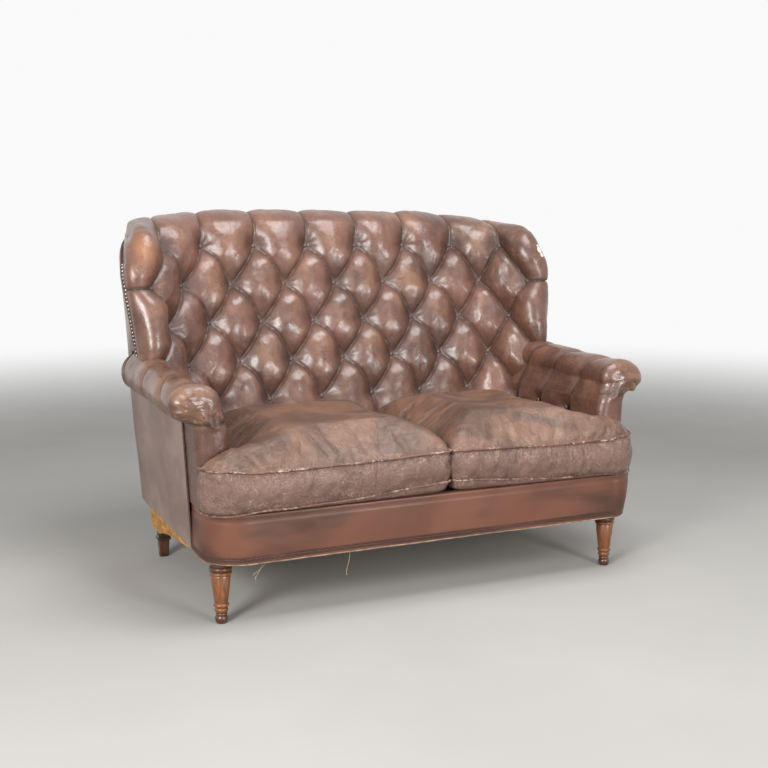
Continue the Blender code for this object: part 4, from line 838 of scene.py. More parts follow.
def make_arm(name, side, settings, finish):
    rounds, length_steps, cap_steps = 190, 170, 26
    t = np.linspace(0, 1, rounds)
    x, z, spine_x, spine_z = arm_section(t)
    button_t = t[np.argmin(np.abs(z[: rounds // 2] - ARM_BUTTON_Z))]
    top_t = t[np.argmax(z)]
    outside_t = t[np.argmax(x)]
    end_t = t[np.argmax(x) + np.argmin(np.abs(z[np.argmax(x):] - 0.519))]
    marks = (0.0, button_t, top_t, outside_t, end_t)
    fillet = 0.032
    straight = np.linspace(ARM_REAR, ARM_FRONT + fillet, length_steps)
    bend = np.radians(np.linspace(0, 90, 14)[1:])
    ys = np.concatenate([straight, ARM_FRONT + fillet - fillet * np.sin(bend)])
    inset = np.concatenate([np.zeros(length_steps), fillet * (1 - np.cos(bend))])
    shrink = np.linspace(1, 0.0, cap_steps + 1)[1:]
    rear_caps = np.linspace(0, 1, 7)[:-1]
    away = np.stack([x - spine_x, z - spine_z], axis=1)
    reach = np.maximum(np.linalg.norm(away, axis=1), 1e-4)
    lift_share = np.clip((ARM_REAR - ys) / (ARM_REAR - ARM_FRONT), 0, 1)
    in_roll = smoothstep(z, 0.50, 0.53)
    rings = []
    for y, pull, share in zip(ys, inset, lift_share):
        keep = np.clip(1 - pull / reach, 0.3, 1)
        puff = 1 + 0.10 * in_roll * np.exp(-((y - ARM_FRONT - 0.03) / 0.03) ** 2)
        lift = ROLL_RISE * (1 - share) * 0.5
        px = spine_x + away[:, 0] * keep * puff
        pz = spine_z + away[:, 1] * keep * puff * (1 + in_roll * lift / ROLL_HALF_HEIGHT) + lift * in_roll
        rings.append(np.stack([px, np.full_like(px, y), pz], axis=1))
    rear_core = np.stack([spine_x, np.full_like(spine_x, ARM_REAR), spine_z], axis=1)
    points = [rear_core + (rings[0] - rear_core) * k for k in rear_caps] + rings
    rim = points[-1]
    core = np.stack([spine_x, np.full_like(spine_x, ARM_FRONT), spine_z], axis=1)
    for k in shrink:
        dome = -0.010 * (1 - k ** 2) * in_roll
        ring = core + (rim - core) * k
        ring[:, 1] = ARM_FRONT + dome
        points.append(ring)
    points = np.array(points)
    pleat_gap = np.full(points.shape[:2], 1.0)
    button_gap = np.full(points.shape[:2], 1.0)
    for pleat in ARM_PLEATS:
        lies = pleat_place(pleat, t, marks)
        gap = np.abs(points[..., 1] - lies[None, :]) * 0.86
        fade = (points[..., 1] - ARM_FRONT < 0.006) * 1.0
        pleat_gap = np.minimum(pleat_gap, gap + fade)
        spot = np.array([ARM_LOW.x, pleat["inside"], ARM_BUTTON_Z])
        button_gap = np.minimum(button_gap, np.linalg.norm(points - spot, axis=-1))
    normals = surface_normals(points[:, ::-1])[:, ::-1]
    normals[-cap_steps:] = np.array([0, -1, 0])
    normals[:len(rear_caps)] = np.array([0, 1, 0])
    upper = (t[None, :] < end_t) * 1.0
    dent = 0.0060 * np.exp(-(pleat_gap / 0.016) ** 2) + 0.0030 * np.exp(-(pleat_gap / 0.0022) ** 2)
    height = -dent * upper - 0.016 * np.exp(-(button_gap / 0.024) ** 2)
    wrinkle = rumple(points, 0.030, 3 + side)
    sag = rumple(points, 0.090, 8 + side)
    to_front = points[..., 1] - ARM_FRONT
    ring_size = np.concatenate([np.ones(len(rear_caps) + len(ys)), shrink])[:, None]
    loose = np.maximum(upper, smoothstep(-to_front, -0.06, -0.02) * (1 - 0.8 * ring_size))
    height += (0.0016 * wrinkle + 0.003 * sag) * loose
    bearing = np.arctan2(points[..., 2] - ROLL_Z, points[..., 0] - ROLL_X)
    spread = np.hypot(points[..., 2] - ROLL_Z, points[..., 0] - ROLL_X)
    pleated = np.sin(bearing * 6 + 2.6 * sag + 1.4 * np.sin(bearing * 2.0 + side))
    below = 0.30 + 0.70 * smoothstep(-np.sin(bearing), -0.3, 0.7)
    gathers = smoothstep(-to_front, -0.060, -0.002) * smoothstep(spread, 0.010, 0.034) * below
    height += 0.0026 * pleated * gathers * in_roll[None, :]
    crumple = creases(points, 0.021, 12 + side) * smoothstep(-to_front, -0.06, 0.0) * in_roll[None, :]
    height += 0.0009 * crumple
    tuck_line = np.exp(-((points[..., 2] - 0.520) / 0.0045) ** 2) * smoothstep(-to_front, -0.05, -0.01)
    height -= 0.003 * tuck_line
    points = points + normals * height[..., None]
    behind_panel = (t[None, :] > end_t) * smoothstep(points[..., 1], SIDE_SEAM_Y + 0.006, SIDE_SEAM_Y + 0.030)
    points[..., 0] -= 0.007 * behind_panel
    points[..., 1] = np.maximum(points[..., 1], ARM_FRONT - 0.020)
    points[..., 0] *= side
    bm = leather_grid(points if side < 0 else points[:, ::-1])
    obj = add_object(f"arm_{name}_leather", bm, finish)
    # fold mask of painted shade: the pleats, the button dimples, the tuck line and the hollows of the gathers at the
    # front
    fold = np.maximum(np.exp(-pleat_gap / 0.0018) * upper, 0.8 * np.exp(-(button_gap / 0.014) ** 2))
    fold = np.maximum(fold, 0.8 * tuck_line)
    # the gathers' painted shade is at full strength on the right arm and half on the left
    deep = gathers * in_roll[None, :] * smoothstep(-pleated, 0.45, 1.0) * 0.60
    fold = np.maximum(fold, deep * (1.0 if side > 0 else 0.5))
    crest = np.clip(in_roll[None, :] * (0.55 + 0.4 * smoothstep(-to_front, -0.10, -0.02)) + 0 * sag, 0, 1)
    edge = np.clip(gathers * in_roll[None, :] * (0.6 + 0.4 * smoothstep(pleated, 0.0, 0.9)), 0, 1)
    order = slice(None) if side < 0 else slice(None, None, -1)
    paint(obj, fold=fold[:, order], crest=crest[:, order], edge=edge[:, order], polish=0 * fold)
    seat(obj, "worn_leather", f"arm_{name}")
    bm = bmesh.new()
    for pleat in ARM_PLEATS[1:3]:
        place = Vector((side * (ARM_LOW.x + 0.012), pleat["inside"], ARM_BUTTON_Z))
        turn = Vector((-side, 0, 0)).to_track_quat("Z", "Y").to_matrix().to_4x4()
        stand = Matrix.Translation(place) @ turn @ Matrix.Diagonal((1, 1, 0.55, 1))
        bmesh.ops.create_uvsphere(bm, u_segments=20, v_segments=12, radius=0.0085, matrix=stand)
    button = add_object(f"arm_{name}_buttons", bm, finish)
    paint(button, fold=np.zeros(len(button.data.vertices)), crest=np.ones(len(button.data.vertices)))
    seat(button, "worn_leather")


# Front border, its studs and the outside panels

def base_plan(inset, corner_steps=14, gap=0.012):
    """The base in plan from the left seam round the front to the right seam, evenly spaced."""
    turn = np.radians(np.linspace(0, 90, corner_steps))
    halves = []
    for corner_radius in (BASE_CORNER_R, TIGHT_CORNER_R):
        cx, cy = BASE_HALF_WIDTH - corner_radius, BASE_FRONT + corner_radius
        radius = corner_radius - inset
        corner = np.stack([cx + radius * np.cos(turn), cy - radius * np.sin(turn)], axis=1)
        halves.append(np.concatenate([[[BASE_HALF_WIDTH - inset, SIDE_SEAM_Y]], corner]))
    left, right = halves
    line = np.concatenate([left * np.array([-1, 1]), right[::-1]])
    line = np.concatenate([line, np.zeros((len(line), 1))], axis=1)
    places, ways = spaced(line, gap)
    outward = np.stack([ways[:, 1], -ways[:, 0], np.zeros(len(ways))], axis=1)
    return places, outward


def make_front_border(finish, stud_finish, welt_finish):
    """Leather over the front rail and round both corners, with two rows of studs and a raw welt below."""
    places, outward = base_plan(0.0, gap=0.006)
    rise = np.linspace(BASE_BOTTOM - 0.001, BASE_TOP - 0.006, 24)
    lip = np.radians(np.linspace(15, 130, 8))
    levels = [(z, 0.0) for z in rise]
    levels += [(BASE_TOP - 0.0062 + 0.0062 * math.sin(a), -0.0062 * (1 - math.cos(a))) for a in lip]
    levels += [(BASE_TOP - 0.0035, -0.018), (BASE_TOP - 0.005, -0.030)]
    rows = []
    for z, inset in levels:
        swell = 0.0018 * math.sin(math.pi * np.clip((z - BASE_BOTTOM) / (BASE_TOP - BASE_BOTTOM), 0, 1))
        groove = -0.0016 * math.exp(-((z - BASE_TOP + 0.017) / 0.0022) ** 2)
        at_right = smoothstep(places[:, :1], 0.40, 0.60) * outward[:, :1]
        lean_out = RIGHT_END_BULGE * at_right * smoothstep(z, BASE_BOTTOM - 0.06, BASE_TOP)
        row = places + outward * (inset + swell + groove + 0.0005 + lean_out)
        row[:, 2] = z
        rows.append(row)
    points = np.array(rows)
    ripple = rumple(points, 0.060, 21) * 0.0012 + rumple(points, 0.20, 22) * 0.0015
    points += outward[None, :, :] * ripple[..., None]
    obj = add_object("front_border_leather", leather_grid(points), finish)
    seat(obj, "worn_leather", "front_border")
    rows = []
    for z in (BASE_BOTTOM + 0.0065, BASE_BOTTOM + 0.0155):
        line, facing = base_plan(-0.0020, gap=0.0066)
        line[:, 2] = z
        rows.append((line, facing))
    strip_line, _ = base_plan(-0.0018, gap=0.012)
    strip_line[:, 2] = BASE_BOTTOM + 0.011
    strip = tube("border_braid", list(strip_line), 0.0018, stud_finish)
    seat(strip, "worn_leather")
    nails = studs("border_studs", np.concatenate([line for line, _ in rows]),
                  np.concatenate([facing for _, facing in rows]), 0.0024, 0.6, stud_finish)
    seat(nails, "worn_leather")
    welt_line, facing = base_plan(0.0015, gap=0.008)
    back_end = np.array([[0, BASE_REAR - 0.004, 0]])
    ends = [np.array([[-BASE_HALF_WIDTH + 0.0015, BASE_REAR - 0.004, 0]]),
            np.array([[BASE_HALF_WIDTH - 0.0015, BASE_REAR - 0.004, 0]])]
    line = np.concatenate([ends[0], welt_line, ends[1]]) + 0 * back_end
    line, _ = spaced(line, 0.010)
    wander = rumple(line * np.array([1, 1, 0]), 0.05, 31)
    line[:, 2] = BASE_BOTTOM - 0.0030 + 0.0010 * wander
    welt = tube("raw_welt", list(line), 0.0022, welt_finish)
    seat(welt, "raw_leather_edge", "base_welt")


def make_side_panels(finish, stud_finish):
    """Flat leather outside each arm, nailed down its front edge."""
    for name, side in (("left", -1), ("right", 1)):
        zs = np.linspace(BASE_BOTTOM, 0.5185, 44)
        shares = np.linspace(0, 1, 60)
        zz, ss = np.meshgrid(zs, shares, indexing="ij")
        front = np.full_like(zz, SIDE_SEAM_Y - 0.004)
        y = front + (rear_outer_y(zz) - front) * ss
        hollow = 0.0035 * np.sin(np.pi * ss) * np.sin(np.pi * (zz - BASE_BOTTOM) / (0.5185 - BASE_BOTTOM))
        x = side_outer_x(zz) + 0.0012 - hollow
        points = np.stack([x, y, zz], axis=-1)
        points[..., 0] += 0.0010 * rumple(points, 0.11, 41 + side)
        points[..., 0] *= side
        grid = points if side > 0 else points[:, ::-1]
        panel = add_object(f"outside_arm_{name}_leather", leather_grid(grid), finish)
        seat(panel, "side_leather", f"outside_arm_{name}")
        heights = np.arange(BASE_BOTTOM + 0.008, 0.512, 0.0066)
        seam = np.stack([side * (side_outer_x(heights) + 0.0026), np.full_like(heights, SIDE_SEAM_Y - 0.001),
                         heights], axis=1)
        facing = np.tile([side, 0.0, 0.0], (len(heights), 1))
        beside = seam + np.array([0, 0.0050, 0])
        braid = tube(f"arm_seam_braid_{name}", list(seam + np.array([-side * 0.001, 0.0025, 0])), 0.0018, stud_finish)
        seat(braid, "worn_leather")
        nails = studs(f"arm_seam_nails_{name}", np.concatenate([seam, beside]),
                      np.concatenate([facing, facing]), 0.0022, 0.6, stud_finish)
        seat(nails, "worn_leather")
        under = np.linspace(SIDE_SEAM_Y, ARM_REAR, 60)
        line = np.stack([side * (side_outer_x(0.5185) + 0.001) * np.ones(60), under, np.full(60, 0.5185)], axis=1)
        piping = tube(f"arm_piping_{name}", list(line), 0.0026, stud_finish)
        seat(piping, "worn_leather")


# Seat cushions

def cushion_plan(side, count):
    """Evenly spaced points round the T-shaped cushion, seen from above, with what each faces in the crown."""
    inner = CUSHION_SPLIT_X + 0.002 * side
    outer = side * (ARM_LOW.x - 0.009)
    ear = side * (BASE_HALF_WIDTH + 0.011)
    ear_back = ARM_FRONT - 0.008
    crown_in, crown_out = inner + 0.120 * side, outer - 0.120 * side
    corners = [((inner, CUSHION_FRONT + 0.002), 0.028, (crown_in, CUSHION_FRONT + 0.130)),
               ((ear, CUSHION_FRONT + 0.006), 0.085, (crown_out, ear_back - 0.033)),
               ((ear, ear_back), 0.010, (crown_out, ear_back - 0.018)),
               ((outer, ear_back), 0.006, (crown_out, ear_back + 0.003)),
               ((outer, CUSHION_REAR), 0.125, (crown_out, CUSHION_REAR - 0.140)),
               ((inner, CUSHION_REAR), 0.040, (crown_in, CUSHION_REAR - 0.140))]
    line, facing = [], []
    for k, (corner, radius, target) in enumerate(corners):
        corner = Vector(corner)
        before = (Vector(corners[k - 1][0]) - corner).normalized()
        after = (Vector(corners[(k + 1) % len(corners)][0]) - corner).normalized()
        a, b = corner + before * radius, corner + after * radius
        for share in np.linspace(0, 1, 7):
            p = a * (1 - share) ** 2 + corner * 2 * share * (1 - share) + b * share ** 2
            line.append((*p, 0.0))
            facing.append((*target, 0.0))
    line.append(line[0])
    facing.append(facing[0])
    line, facing = np.array(line), np.array(facing)
    reach = np.concatenate([[0], np.cumsum(np.linalg.norm(np.diff(line, axis=0), axis=1))])
    at = np.linspace(0, reach[-1], count + 1)[:-1]
    points = np.stack([np.interp(at, reach, line[:, k]) for k in range(3)], axis=1)
    targets = np.stack([np.interp(at, reach, facing[:, k]) for k in range(3)], axis=1)
    return points, targets


def seam_heights(points):
    """Heights of the lower and the upper seam at points of the plan: the front edge lifts where the cushions meet."""
    at_front = smoothstep(-points[:, 1], 0.30, 0.44)
    middle = np.exp(-((points[:, 0] - CUSHION_SPLIT_X) / 0.24) ** 2)
    low = DECK_TOP + 0.010 + 0.026 * middle * at_front
    high = DECK_TOP + 0.114 + 0.004 * at_front - 0.010 * (1 - middle) * at_front
    low = low - 0.006 * smoothstep(np.abs(points[:, 0]), 0.50, 0.60) * at_front
    high = high + 0.009 * smoothstep(np.abs(points[:, 0]), 0.52, 0.60) * at_front
    return low, high


def cushion_body(side):
    """A closed cushion, a little slacker than the finished one."""
    points, targets = cushion_plan(side, 150)
    low, high = seam_heights(points)
    floor = DECK_TOP + 0.0015
    crown = 0.064
    levels = [(0.30, 0, floor), (0.80, 0, floor), (0.95, 0.3, floor)]
    rings = [(share, lift * 0, low * lift + flat * (1 - lift)) for share, lift, flat in levels]
    rings += [(1.0, 0, low), (1.0, 0, low * 0.66 + high * 0.34), (1.0, 0, low * 0.34 + high * 0.66), (1.0, 0, high)]
    for share, rise in ((0.93, 0.22), (0.82, 0.50), (0.66, 0.76), (0.46, 0.93), (0.20, 1.0)):
        rings.append((share, 0, high + crown * rise))
    bm = bmesh.new()
    ring_points = [targets + (points - targets) * share for share, _, _ in rings]
    for ring, (_, _, height) in zip(ring_points, rings):
        ring[:, 2] = height
    first = bm.faces.new([bm.verts.new(p) for p in ring_points[0]])
    top = first
    for ring in ring_points[1:]:
        grown = bmesh.ops.extrude_face_region(bm, geom=[top], use_keep_orig=top is first)
        top = next(f for f in grown["geom"] if isinstance(f, bmesh.types.BMFace))
        for vert, place in zip(top.verts, ring):
            vert.co = place
    bmesh.ops.recalc_face_normals(bm, faces=bm.faces)
    return bm


def remeshed(obj, size):
    remesh = obj.modifiers.new("even_skin", "REMESH")
    remesh.mode = "VOXEL"
    remesh.voxel_size = size
    apply_modifiers(obj)


def apply_modifiers(obj):
    graph = bpy.context.evaluated_depsgraph_get()
    mesh = bpy.data.meshes.new_from_object(obj.evaluated_get(graph), depsgraph=graph)
    obj.modifiers.clear()
    obj.data = mesh


def points_of(mesh):
    co = np.empty(len(mesh.vertices) * 3, np.float32)
    mesh.vertices.foreach_get("co", co)
    return co.reshape(-1, 3).astype(float)


def stuff_with_pressure(obj, held, cap):
    """Fills a slack cushion with pressure. held lists the points that stay, cap is the most that others move."""
    before = points_of(obj.data)
    group = obj.vertex_groups.new(name="held")
    for index, share in enumerate(held):
        if share > 0.01:
            group.add([index], float(share), "REPLACE")
    cloth = obj.modifiers.new("stuffing", "CLOTH")
    knobs = cloth.settings
    knobs.quality = 5
    knobs.mass = 0.6
    knobs.tension_stiffness = 22
    knobs.compression_stiffness = 22
    knobs.bending_stiffness = 0.7
    knobs.use_pressure = True
    knobs.uniform_pressure_force = 4.0
    knobs.shrink_min = -0.025
    knobs.vertex_group_mass = "held"
    knobs.effector_weights.gravity = 0.0
    cloth.collision_settings.use_collision = False
    cloth.point_cache.frame_start = 1
    cloth.point_cache.frame_end = 20
    scene = bpy.context.scene
    for number in range(1, 21):
        scene.frame_set(number)
    apply_modifiers(obj)
    scene.frame_set(1)
    after = points_of(obj.data)
    moved = after - before
    length = np.linalg.norm(moved, axis=1, keepdims=True)
    after = before + moved * np.minimum(1, cap / np.maximum(length, 1e-9))
    obj.data.vertices.foreach_set("co", after.astype(np.float32).ravel())
    obj.data.update()


def make_cushion(name, side, settings, finish, piping_finish):
    obj = add_object(f"seat_cushion_{name}_leather", cushion_body(side), finish)
    remeshed(obj, 0.0078)
    plan_points, _ = cushion_plan(side, 600)
    low, high = seam_heights(plan_points)
    co = points_of(obj.data)
    gap = np.empty(len(co))
    nearest = np.empty(len(co), int)
    for start in range(0, len(co), 2000):
        block = co[start:start + 2000, None, :2] - plan_points[None, :, :2]
        distance = np.linalg.norm(block, axis=2)
        nearest[start:start + 2000] = distance.argmin(axis=1)
        gap[start:start + 2000] = distance.min(axis=1)
    to_low = np.hypot(gap, co[:, 2] - low[nearest])
    to_high = np.hypot(gap, co[:, 2] - high[nearest])
    to_seam = np.minimum(to_low, to_high)
    underneath = co[:, 2] < low[nearest] - 0.002
    held = np.maximum(np.exp(-(to_seam / 0.007) ** 2), underneath * 1.0)
    stuff_with_pressure(obj, held, settings.cushion_swell)
    co = points_of(obj.data)
    graph_normals = np.empty(len(co) * 3, np.float32)
    obj.data.vertex_normals.foreach_get("vector", graph_normals)
    graph_normals = graph_normals.reshape(-1, 3)
    free = 1 - held
    on_border = (gap < 0.012) & (co[:, 2] > low[nearest]) & (co[:, 2] < high[nearest])
    wave = 0.0014 * rumple(co, 0.034, 51 + side) + 0.0022 * rumple(co, 0.16, 53 + side)
    upright = co.copy()
    upright[:, 0] *= 2.4
    wave = wave + on_border * (0.0030 * rumple(upright, 0.060, 57 + side) + 0.0016 * creases(upright, 0.034, 58))
    up_border = np.clip((co[:, 2] - low[nearest]) / (high - low)[nearest], 0, 1)
    wave = wave + on_border * 0.005 * np.sin(np.pi * up_border)
    co = co + graph_normals * (wave * free)[:, None]
    obj.data.vertices.foreach_set("co", co.astype(np.float32).ravel())
    obj.data.update()
    edge = np.exp(-(to_seam / 0.016) ** 2) * (co[:, 1] < ARM_FRONT + 0.05)
    edge = edge + 0.5 * np.exp(-(np.abs(to_high - 0.01) / 0.03) ** 2) * (co[:, 1] < ARM_FRONT + 0.01)
    # gloss marks the border below the upper seam: shinier there, and painted paler as its sheen
    gloss = smoothstep(high[nearest] - co[:, 2], -0.004, 0.006) * (gap < 0.03)
    paint(obj, edge=np.clip(edge, 0, 1), gloss=gloss)
    smoother = obj.modifiers.new("even", "SUBSURF")
    smoother.levels = smoother.render_levels = 1
    apply_modifiers(obj)
    obj.data.shade_smooth()
    seat(obj, "seat_leather", f"seat_cushion_{name}")
    for place, heights, radius in (("upper", high, 0.0031), ("lower", low, 0.0027)):
        line = plan_points.copy()
        middle = line.mean(axis=0)
        ways = np.gradient(np.concatenate([line[-1:], line, line[:1]]), axis=0)[1:-1]
        ways /= np.linalg.norm(ways, axis=1, keepdims=True)
        outward = np.stack([ways[:, 1], -ways[:, 0], 0 * ways[:, 0]], axis=1)
        outward *= np.sign(np.sum(outward * (line - middle), axis=1).mean())
        line = line + outward * 0.0028
        line[:, 2] = heights
        line[:, 2] += 0.0012 * rumple(line, 0.05, 61)
        cord = tube(f"cushion_{name}_{place}_piping", list(line[::3]), radius, piping_finish, closed=True)
        seat(cord, "seat_leather")


# Legs, threads and the rest of the frame

def make_front_legs(finish):
    """Turned legs with more rings than the frame's plain ones."""
    top = FRONT_LEG_HIGH.z
    centre = (FRONT_LEG_LOW + FRONT_LEG_HIGH) / 2
    profile = [(0.0, 0.0), (0.0122, 0.0), (0.0142, 0.0020), (0.0165, 0.0110), (0.0160, 0.0165), (0.0130, 0.0205),
               (0.0150, 0.0222), (0.0156, 0.0245), (0.0148, 0.0268), (0.0128, 0.0282), (0.0160, 0.0310),
               (0.0178, 0.0355), (0.0165, 0.0398), (0.0134, 0.0425), (0.0182, 0.0445), (0.0205, 0.0482),
               (0.0192, 0.0522), (0.0164, 0.0545), (0.0182, 0.0585), (0.0258, 0.1265), (0.0246, 0.1285),
               (0.0284, 0.1310), (0.0292, 0.1345), (0.0280, 0.1372), (0.0240, 0.1392), (0.0288, 0.1420),
               (0.0300, 0.1465), (0.0286, 0.1500), (0.0240, 0.1520), (0.0246, 0.1580),
               (0.0246, top), (0.0, top)]
    for name, side in (("left", -1), ("right", 1)):
        bm = bmesh.new()
        verts = [bm.verts.new((r, 0.0, z)) for r, z in profile]
        edges = [bm.edges.new(pair) for pair in zip(verts, verts[1:])]
        bmesh.ops.spin(bm, geom=verts + edges, cent=(0, 0, 0), axis=(0, 0, 1), angle=math.tau, steps=56,
                       use_merge=True)
        bmesh.ops.remove_doubles(bm, verts=bm.verts, dist=0.00005)
        bmesh.ops.recalc_face_normals(bm, faces=bm.faces)
        bmesh.ops.translate(bm, vec=(side * centre.x, centre.y, 0), verts=bm.verts)
        leg = add_object(f"turned_leg_{name}", bm, finish)
        leg.data.set_sharp_from_angle(angle=math.radians(50))
        seat(leg, "stained_leg_wood", f"front_leg_{name}")


def make_loose_threads(finish):
    """Torn threads that hang from the leather's raw edge under the front."""
    drops = [((-0.497, 0.030), (-0.016, -0.008, -0.050)), ((-0.488, 0.028), (-0.028, 0.004, -0.042)),
             ((-0.258, 0.020), (-0.006, -0.010, -0.066))]
    for k, ((x, inset), fall) in enumerate(drops):
        start = Vector((x, BASE_FRONT + inset, BASE_BOTTOM - 0.002))
        end = start + Vector(fall)
        bow = Vector((0.012, -0.006, 0.0))
        line = interpolate_bezier(start, start + Vector((0, 0, -0.02)) + bow, end - bow, end, 14)
        thread = tube(f"loose_thread_{k + 1}", line, 0.00045, finish, resolution=1)
        seat(thread, "jute_webbing")


def dress_frame(finishes):
    """Gives every remaining node of the frame its finish."""
    slots = {part["node"]: part["material_slot"] for part in frame["record"]["subparts"]}
    for name, node in frame["nodes"].items():
        finish = finishes[slots[name]]
        node.data.materials.clear()
        node.data.materials.append(finish)
        count = len(node.data.vertices)
        if slots[name] in ("worn_leather", "seat_leather"):
            paint(node, fold=np.zeros(count), crest=np.full(count, 0.3), edge=np.zeros(count),
                  gloss=np.zeros(count))


# Stage

BACKDROP = (0.95, 0.95, 0.95)


def looked_at(tree):
    """1 on rays from the camera, off gloss and through glass, and 0 on the rays that carry light."""
    path = tree.nodes.new("ShaderNodeLightPath")
    seen = path.outputs["Is Camera Ray"]
    for also in ("Is Glossy Ray", "Is Transmission Ray"):
        either = tree.nodes.new("ShaderNodeMath")
        either.operation = "MAXIMUM"
        tree.links.new(seen, either.inputs[0])
        tree.links.new(path.outputs[also], either.inputs[1])
        seen = either.outputs[0]
    return seen


def make_stage(settings):
    scene = bpy.context.scene
    scene.view_settings.view_transform = "Standard"
    floor_bm = bmesh.new()
    bmesh.ops.create_grid(floor_bm, x_segments=1, y_segments=1, size=60.0)
    n = Nodes("pale_floor")
    base = n.mix(n.range(n.noise(0.9, 4, 0.6), 0.3, 0.7), shade(settings.floor_colour, 0.93), settings.floor_colour)
    n.done(base, n.range(n.noise(3, 3), 0.3, 0.7, 0.75, 0.9), 0.2)
    n.fade_out(BACKDROP, 2.2, 7.0)
    floor = add_object("floor", floor_bm, n.mat)
    world = bpy.data.worlds.new("soft_room")
    scene.world = world
    world.use_nodes = True
    tree = world.node_tree
    light_back = tree.nodes["Background"]
    light_back.inputs["Color"].default_value = (0.98, 0.99, 1.0, 1)
    light_back.inputs["Strength"].default_value = settings.room_light
    seen_back = tree.nodes.new("ShaderNodeBackground")
    seen_back.inputs["Color"].default_value = (*BACKDROP, 1)
    blend = tree.nodes.new("ShaderNodeMixShader")
    tree.links.new(looked_at(tree), blend.inputs[0])
    tree.links.new(light_back.outputs[0], blend.inputs[1])
    tree.links.new(seen_back.outputs[0], blend.inputs[2])
    tree.links.new(blend.outputs[0], tree.nodes["World Output"].inputs["Surface"])
    lamps = [("window", (-2.9, -2.4, 1.7), 1.0, settings.window_light, (1.0, 0.98, 0.96)),
             ("ceiling", (0.2, -0.9, 2.9), 1.4, settings.window_light * 0.50, (1.0, 1.0, 1.0)),
             ("far_window", (0.9, -3.7, 1.15), 0.9, settings.window_light * 0.60, (1.0, 1.0, 1.0))]
    for name, place, size, power, colour in lamps:
        lamp = bpy.data.lights.new(name, "AREA")
        lamp.shape = "SQUARE"
        lamp.size = size
        lamp.energy = power
        lamp.color = colour
        holder = bpy.data.objects.new(name, lamp)
        scene.collection.objects.link(holder)
        holder.location = place
        aim = Vector((0, 0, 0.5)) - Vector(place)
        holder.rotation_euler = aim.to_track_quat("-Z", "Y").to_euler()
    camera_data = bpy.data.cameras.new("camera")
    camera_data.lens = 50.62
    camera_data.sensor_width = 36.0
    camera = bpy.data.objects.new("camera", camera_data)
    scene.collection.objects.link(camera)
    camera.location = (-1.322, -2.985, 0.995)
    camera.rotation_euler = (math.radians(82.047), 0.0, math.radians(-24.463))
    scene.camera = camera


# Add-on

def colour_property(name, description, default):
    return bpy.props.FloatVectorProperty(name=name, description=description, subtype="COLOR", size=3,
                                         min=0.0, max=1.0, default=default)


def length_property(name, description, default):
    return bpy.props.FloatProperty(name=name, description=description, unit="LENGTH", min=0.0, default=default)


class SofaSettings(bpy.types.PropertyGroup):
    leather_colour: colour_property("Leather", "Colour of the tufted leather", (0.128, 0.056, 0.037))
    worn_colour: colour_property("Worn leather", "Colour where the finish is rubbed off", (0.300, 0.160, 0.088))
    seat_colour: colour_property("Seat leather", "Colour of the dull seat leather", (0.135, 0.068, 0.043))
    border_colour: colour_property("Border leather", "Colour of the smooth front border", (0.138, 0.054, 0.032))
    side_colour: colour_property("Side leather", "Colour of the outside panels", (0.235, 0.165, 0.140))
    leg_colour: colour_property("Leg wood", "Colour of the turned legs", (0.200, 0.068, 0.020))
    bare_colour: colour_property("Frame wood", "Colour of the bare frame wood", (0.500, 0.250, 0.075))
    floor_colour: colour_property("Floor", "Colour of the floor", (0.430, 0.420, 0.400))
    pillow_height: length_property("Pillow height", "How far a pillow stands over its buttons", 0.044)
    pleat_depth: length_property("Pleat depth", "How deep the fold of a pleat is", 0.0050)
    cushion_swell: length_property("Cushion swell", "The most that stuffing pushes the seat leather out", 0.026)
    window_light: bpy.props.FloatProperty(name="Window", description="Power of the main soft light",
                                          unit="POWER", min=0.0, default=120.0)
    room_light: bpy.props.FloatProperty(name="Room", description="Strength of the light from all round",
                                        min=0.0, default=0.42)


class FinishedOperator(bpy.types.Operator):
    """Base for the steps of the sofa"""

    def execute(self, context):
        self.make(context.scene.sofa, bpy.data.materials)
        return {"FINISHED"}


class SOFA_OT_finishes(FinishedOperator):
    """Makes the finishes and gives them to the frame's nodes"""

    bl_idname = "sofa.finishes"
    bl_label = "Finishes"

    def make(self, settings, materials):
        leather = tufted_leather(settings.leather_colour, settings.worn_colour)
        border = panel_leather("border_leather", settings.border_colour, shade(settings.border_colour, 0.36), 0.28, 0.42)
        side = panel_leather("outside_leather", settings.side_colour, shade(settings.side_colour, 0.72), 0.42, 0.58)
        dress_frame({
            "worn_leather": border,
            "seat_leather": scuffed_leather(settings.seat_colour, shade(settings.seat_colour, 2.1)),
            "side_leather": side,
            "raw_leather_edge": raw_edge((0.330, 0.225, 0.170)),
            "stained_leg_wood": turned_wood("varnished_wood", settings.leg_colour, (0.050, 0.018, 0.008), 0.030, 0.140),
            "dark_leg_wood": turned_wood("dark_varnished_wood", (0.090, 0.030, 0.012), (0.020, 0.008, 0.004), 0.010, 0.055),
            "bare_frame_wood": bare_wood(settings.bare_colour),
            "spring_steel": metal("dull_steel", (0.32, 0.31, 0.30), 0.40),
            "jute_webbing": woven("jute", (0.42, 0.31, 0.18), 160),
            "hessian_cloth": woven("hessian", (0.30, 0.22, 0.14), 120),
            "seat_deck_cloth": woven("deck_cloth", (0.045, 0.025, 0.018), 140),
        })
        leather.use_fake_user = True
        metal("bright_nail", (0.80, 0.74, 0.66), 0.24).use_fake_user = True
        plain_stain("dark_braid", (0.062, 0.028, 0.018), 0.42).use_fake_user = True
        cracked_piping((0.110, 0.048, 0.032)).use_fake_user = True
        plain_stain("pale_thread", (0.55, 0.42, 0.26), 0.8).use_fake_user = True


class SOFA_OT_inside_back(FinishedOperator):
    """Makes the deep-buttoned back with its wings and top roll"""

    bl_idname = "sofa.inside_back"
    bl_label = "Inside back"

    def make(self, settings, materials):
        points, normals, flat = make_inside_back(settings, materials["tufted_leather"])
        make_back_buttons(points, normals, flat, materials["tufted_leather"])


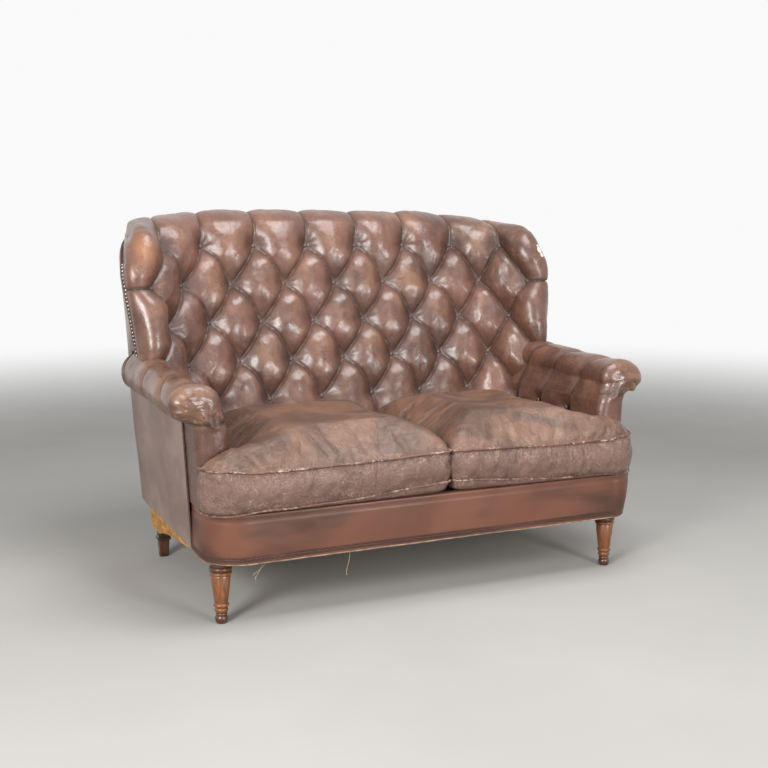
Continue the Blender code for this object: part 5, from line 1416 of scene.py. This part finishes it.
class SOFA_OT_wing_trim(FinishedOperator):
    """Makes the nails and strips along the wings"""

    bl_idname = "sofa.wing_trim"
    bl_label = "Wing trim"

    def make(self, settings, materials):
        make_wing_trim(settings, materials["bright_nail"], materials["dark_braid"])


class SOFA_OT_arms(FinishedOperator):
    """Makes the pleated and gathered arms"""

    bl_idname = "sofa.arms"
    bl_label = "Arms"

    def make(self, settings, materials):
        for name, side in (("left", -1), ("right", 1)):
            make_arm(name, side, settings, materials["tufted_leather"])


class SOFA_OT_border(FinishedOperator):
    """Makes the front border, its studs and its raw welt"""

    bl_idname = "sofa.border"
    bl_label = "Front border"

    def make(self, settings, materials):
        make_front_border(materials["border_leather"], materials["dark_braid"], materials["cut_hide"])


class SOFA_OT_side_panels(FinishedOperator):
    """Makes the flat outside panels with their nailed seams"""

    bl_idname = "sofa.side_panels"
    bl_label = "Side panels"

    def make(self, settings, materials):
        make_side_panels(materials["outside_leather"], materials["dark_braid"])


class SOFA_OT_cushions(FinishedOperator):
    """Makes the two seat cushions with their piping"""

    bl_idname = "sofa.cushions"
    bl_label = "Seat cushions"

    def make(self, settings, materials):
        for name, side in (("left", -1), ("right", 1)):
            make_cushion(name, side, settings, materials["scuffed_leather"], materials["piping_leather"])


class SOFA_OT_legs(FinishedOperator):
    """Makes the turned front legs"""

    bl_idname = "sofa.legs"
    bl_label = "Front legs"

    def make(self, settings, materials):
        make_front_legs(materials["varnished_wood"])


class SOFA_OT_threads(FinishedOperator):
    """Makes the loose threads under the front"""

    bl_idname = "sofa.threads"
    bl_label = "Loose threads"

    def make(self, settings, materials):
        make_loose_threads(materials["pale_thread"])


class SOFA_OT_stage(FinishedOperator):
    """Makes the floor, the lamps, the room light and the camera"""

    bl_idname = "sofa.stage"
    bl_label = "Stage"

    def make(self, settings, materials):
        make_stage(settings)


STEPS = (SOFA_OT_finishes, SOFA_OT_inside_back, SOFA_OT_wing_trim, SOFA_OT_arms, SOFA_OT_border,
         SOFA_OT_side_panels, SOFA_OT_cushions, SOFA_OT_legs, SOFA_OT_threads, SOFA_OT_stage)


class SOFA_PT_panel(bpy.types.Panel):
    """Lists the sofa's sizes, colours and steps"""

    bl_label = "Sofa"
    bl_idname = "SOFA_PT_panel"
    bl_space_type = "VIEW_3D"
    bl_region_type = "UI"
    bl_category = "Sofa"

    def draw(self, context):
        for name in SofaSettings.__annotations__:
            self.layout.prop(context.scene.sofa, name)
        for step in STEPS:
            self.layout.operator(step.bl_idname)


CLASSES = (SofaSettings, *STEPS, SOFA_PT_panel)


def register():
    for cls in CLASSES:
        bpy.utils.register_class(cls)
    bpy.types.Scene.sofa = bpy.props.PointerProperty(type=SofaSettings)


def unregister():
    del bpy.types.Scene.sofa
    for cls in reversed(CLASSES):
        bpy.utils.unregister_class(cls)


def main():
    register()
    for step in STEPS:
        group, name = step.bl_idname.split(".")
        getattr(getattr(bpy.ops, group), name)()


if __name__ == "__main__":
    main()
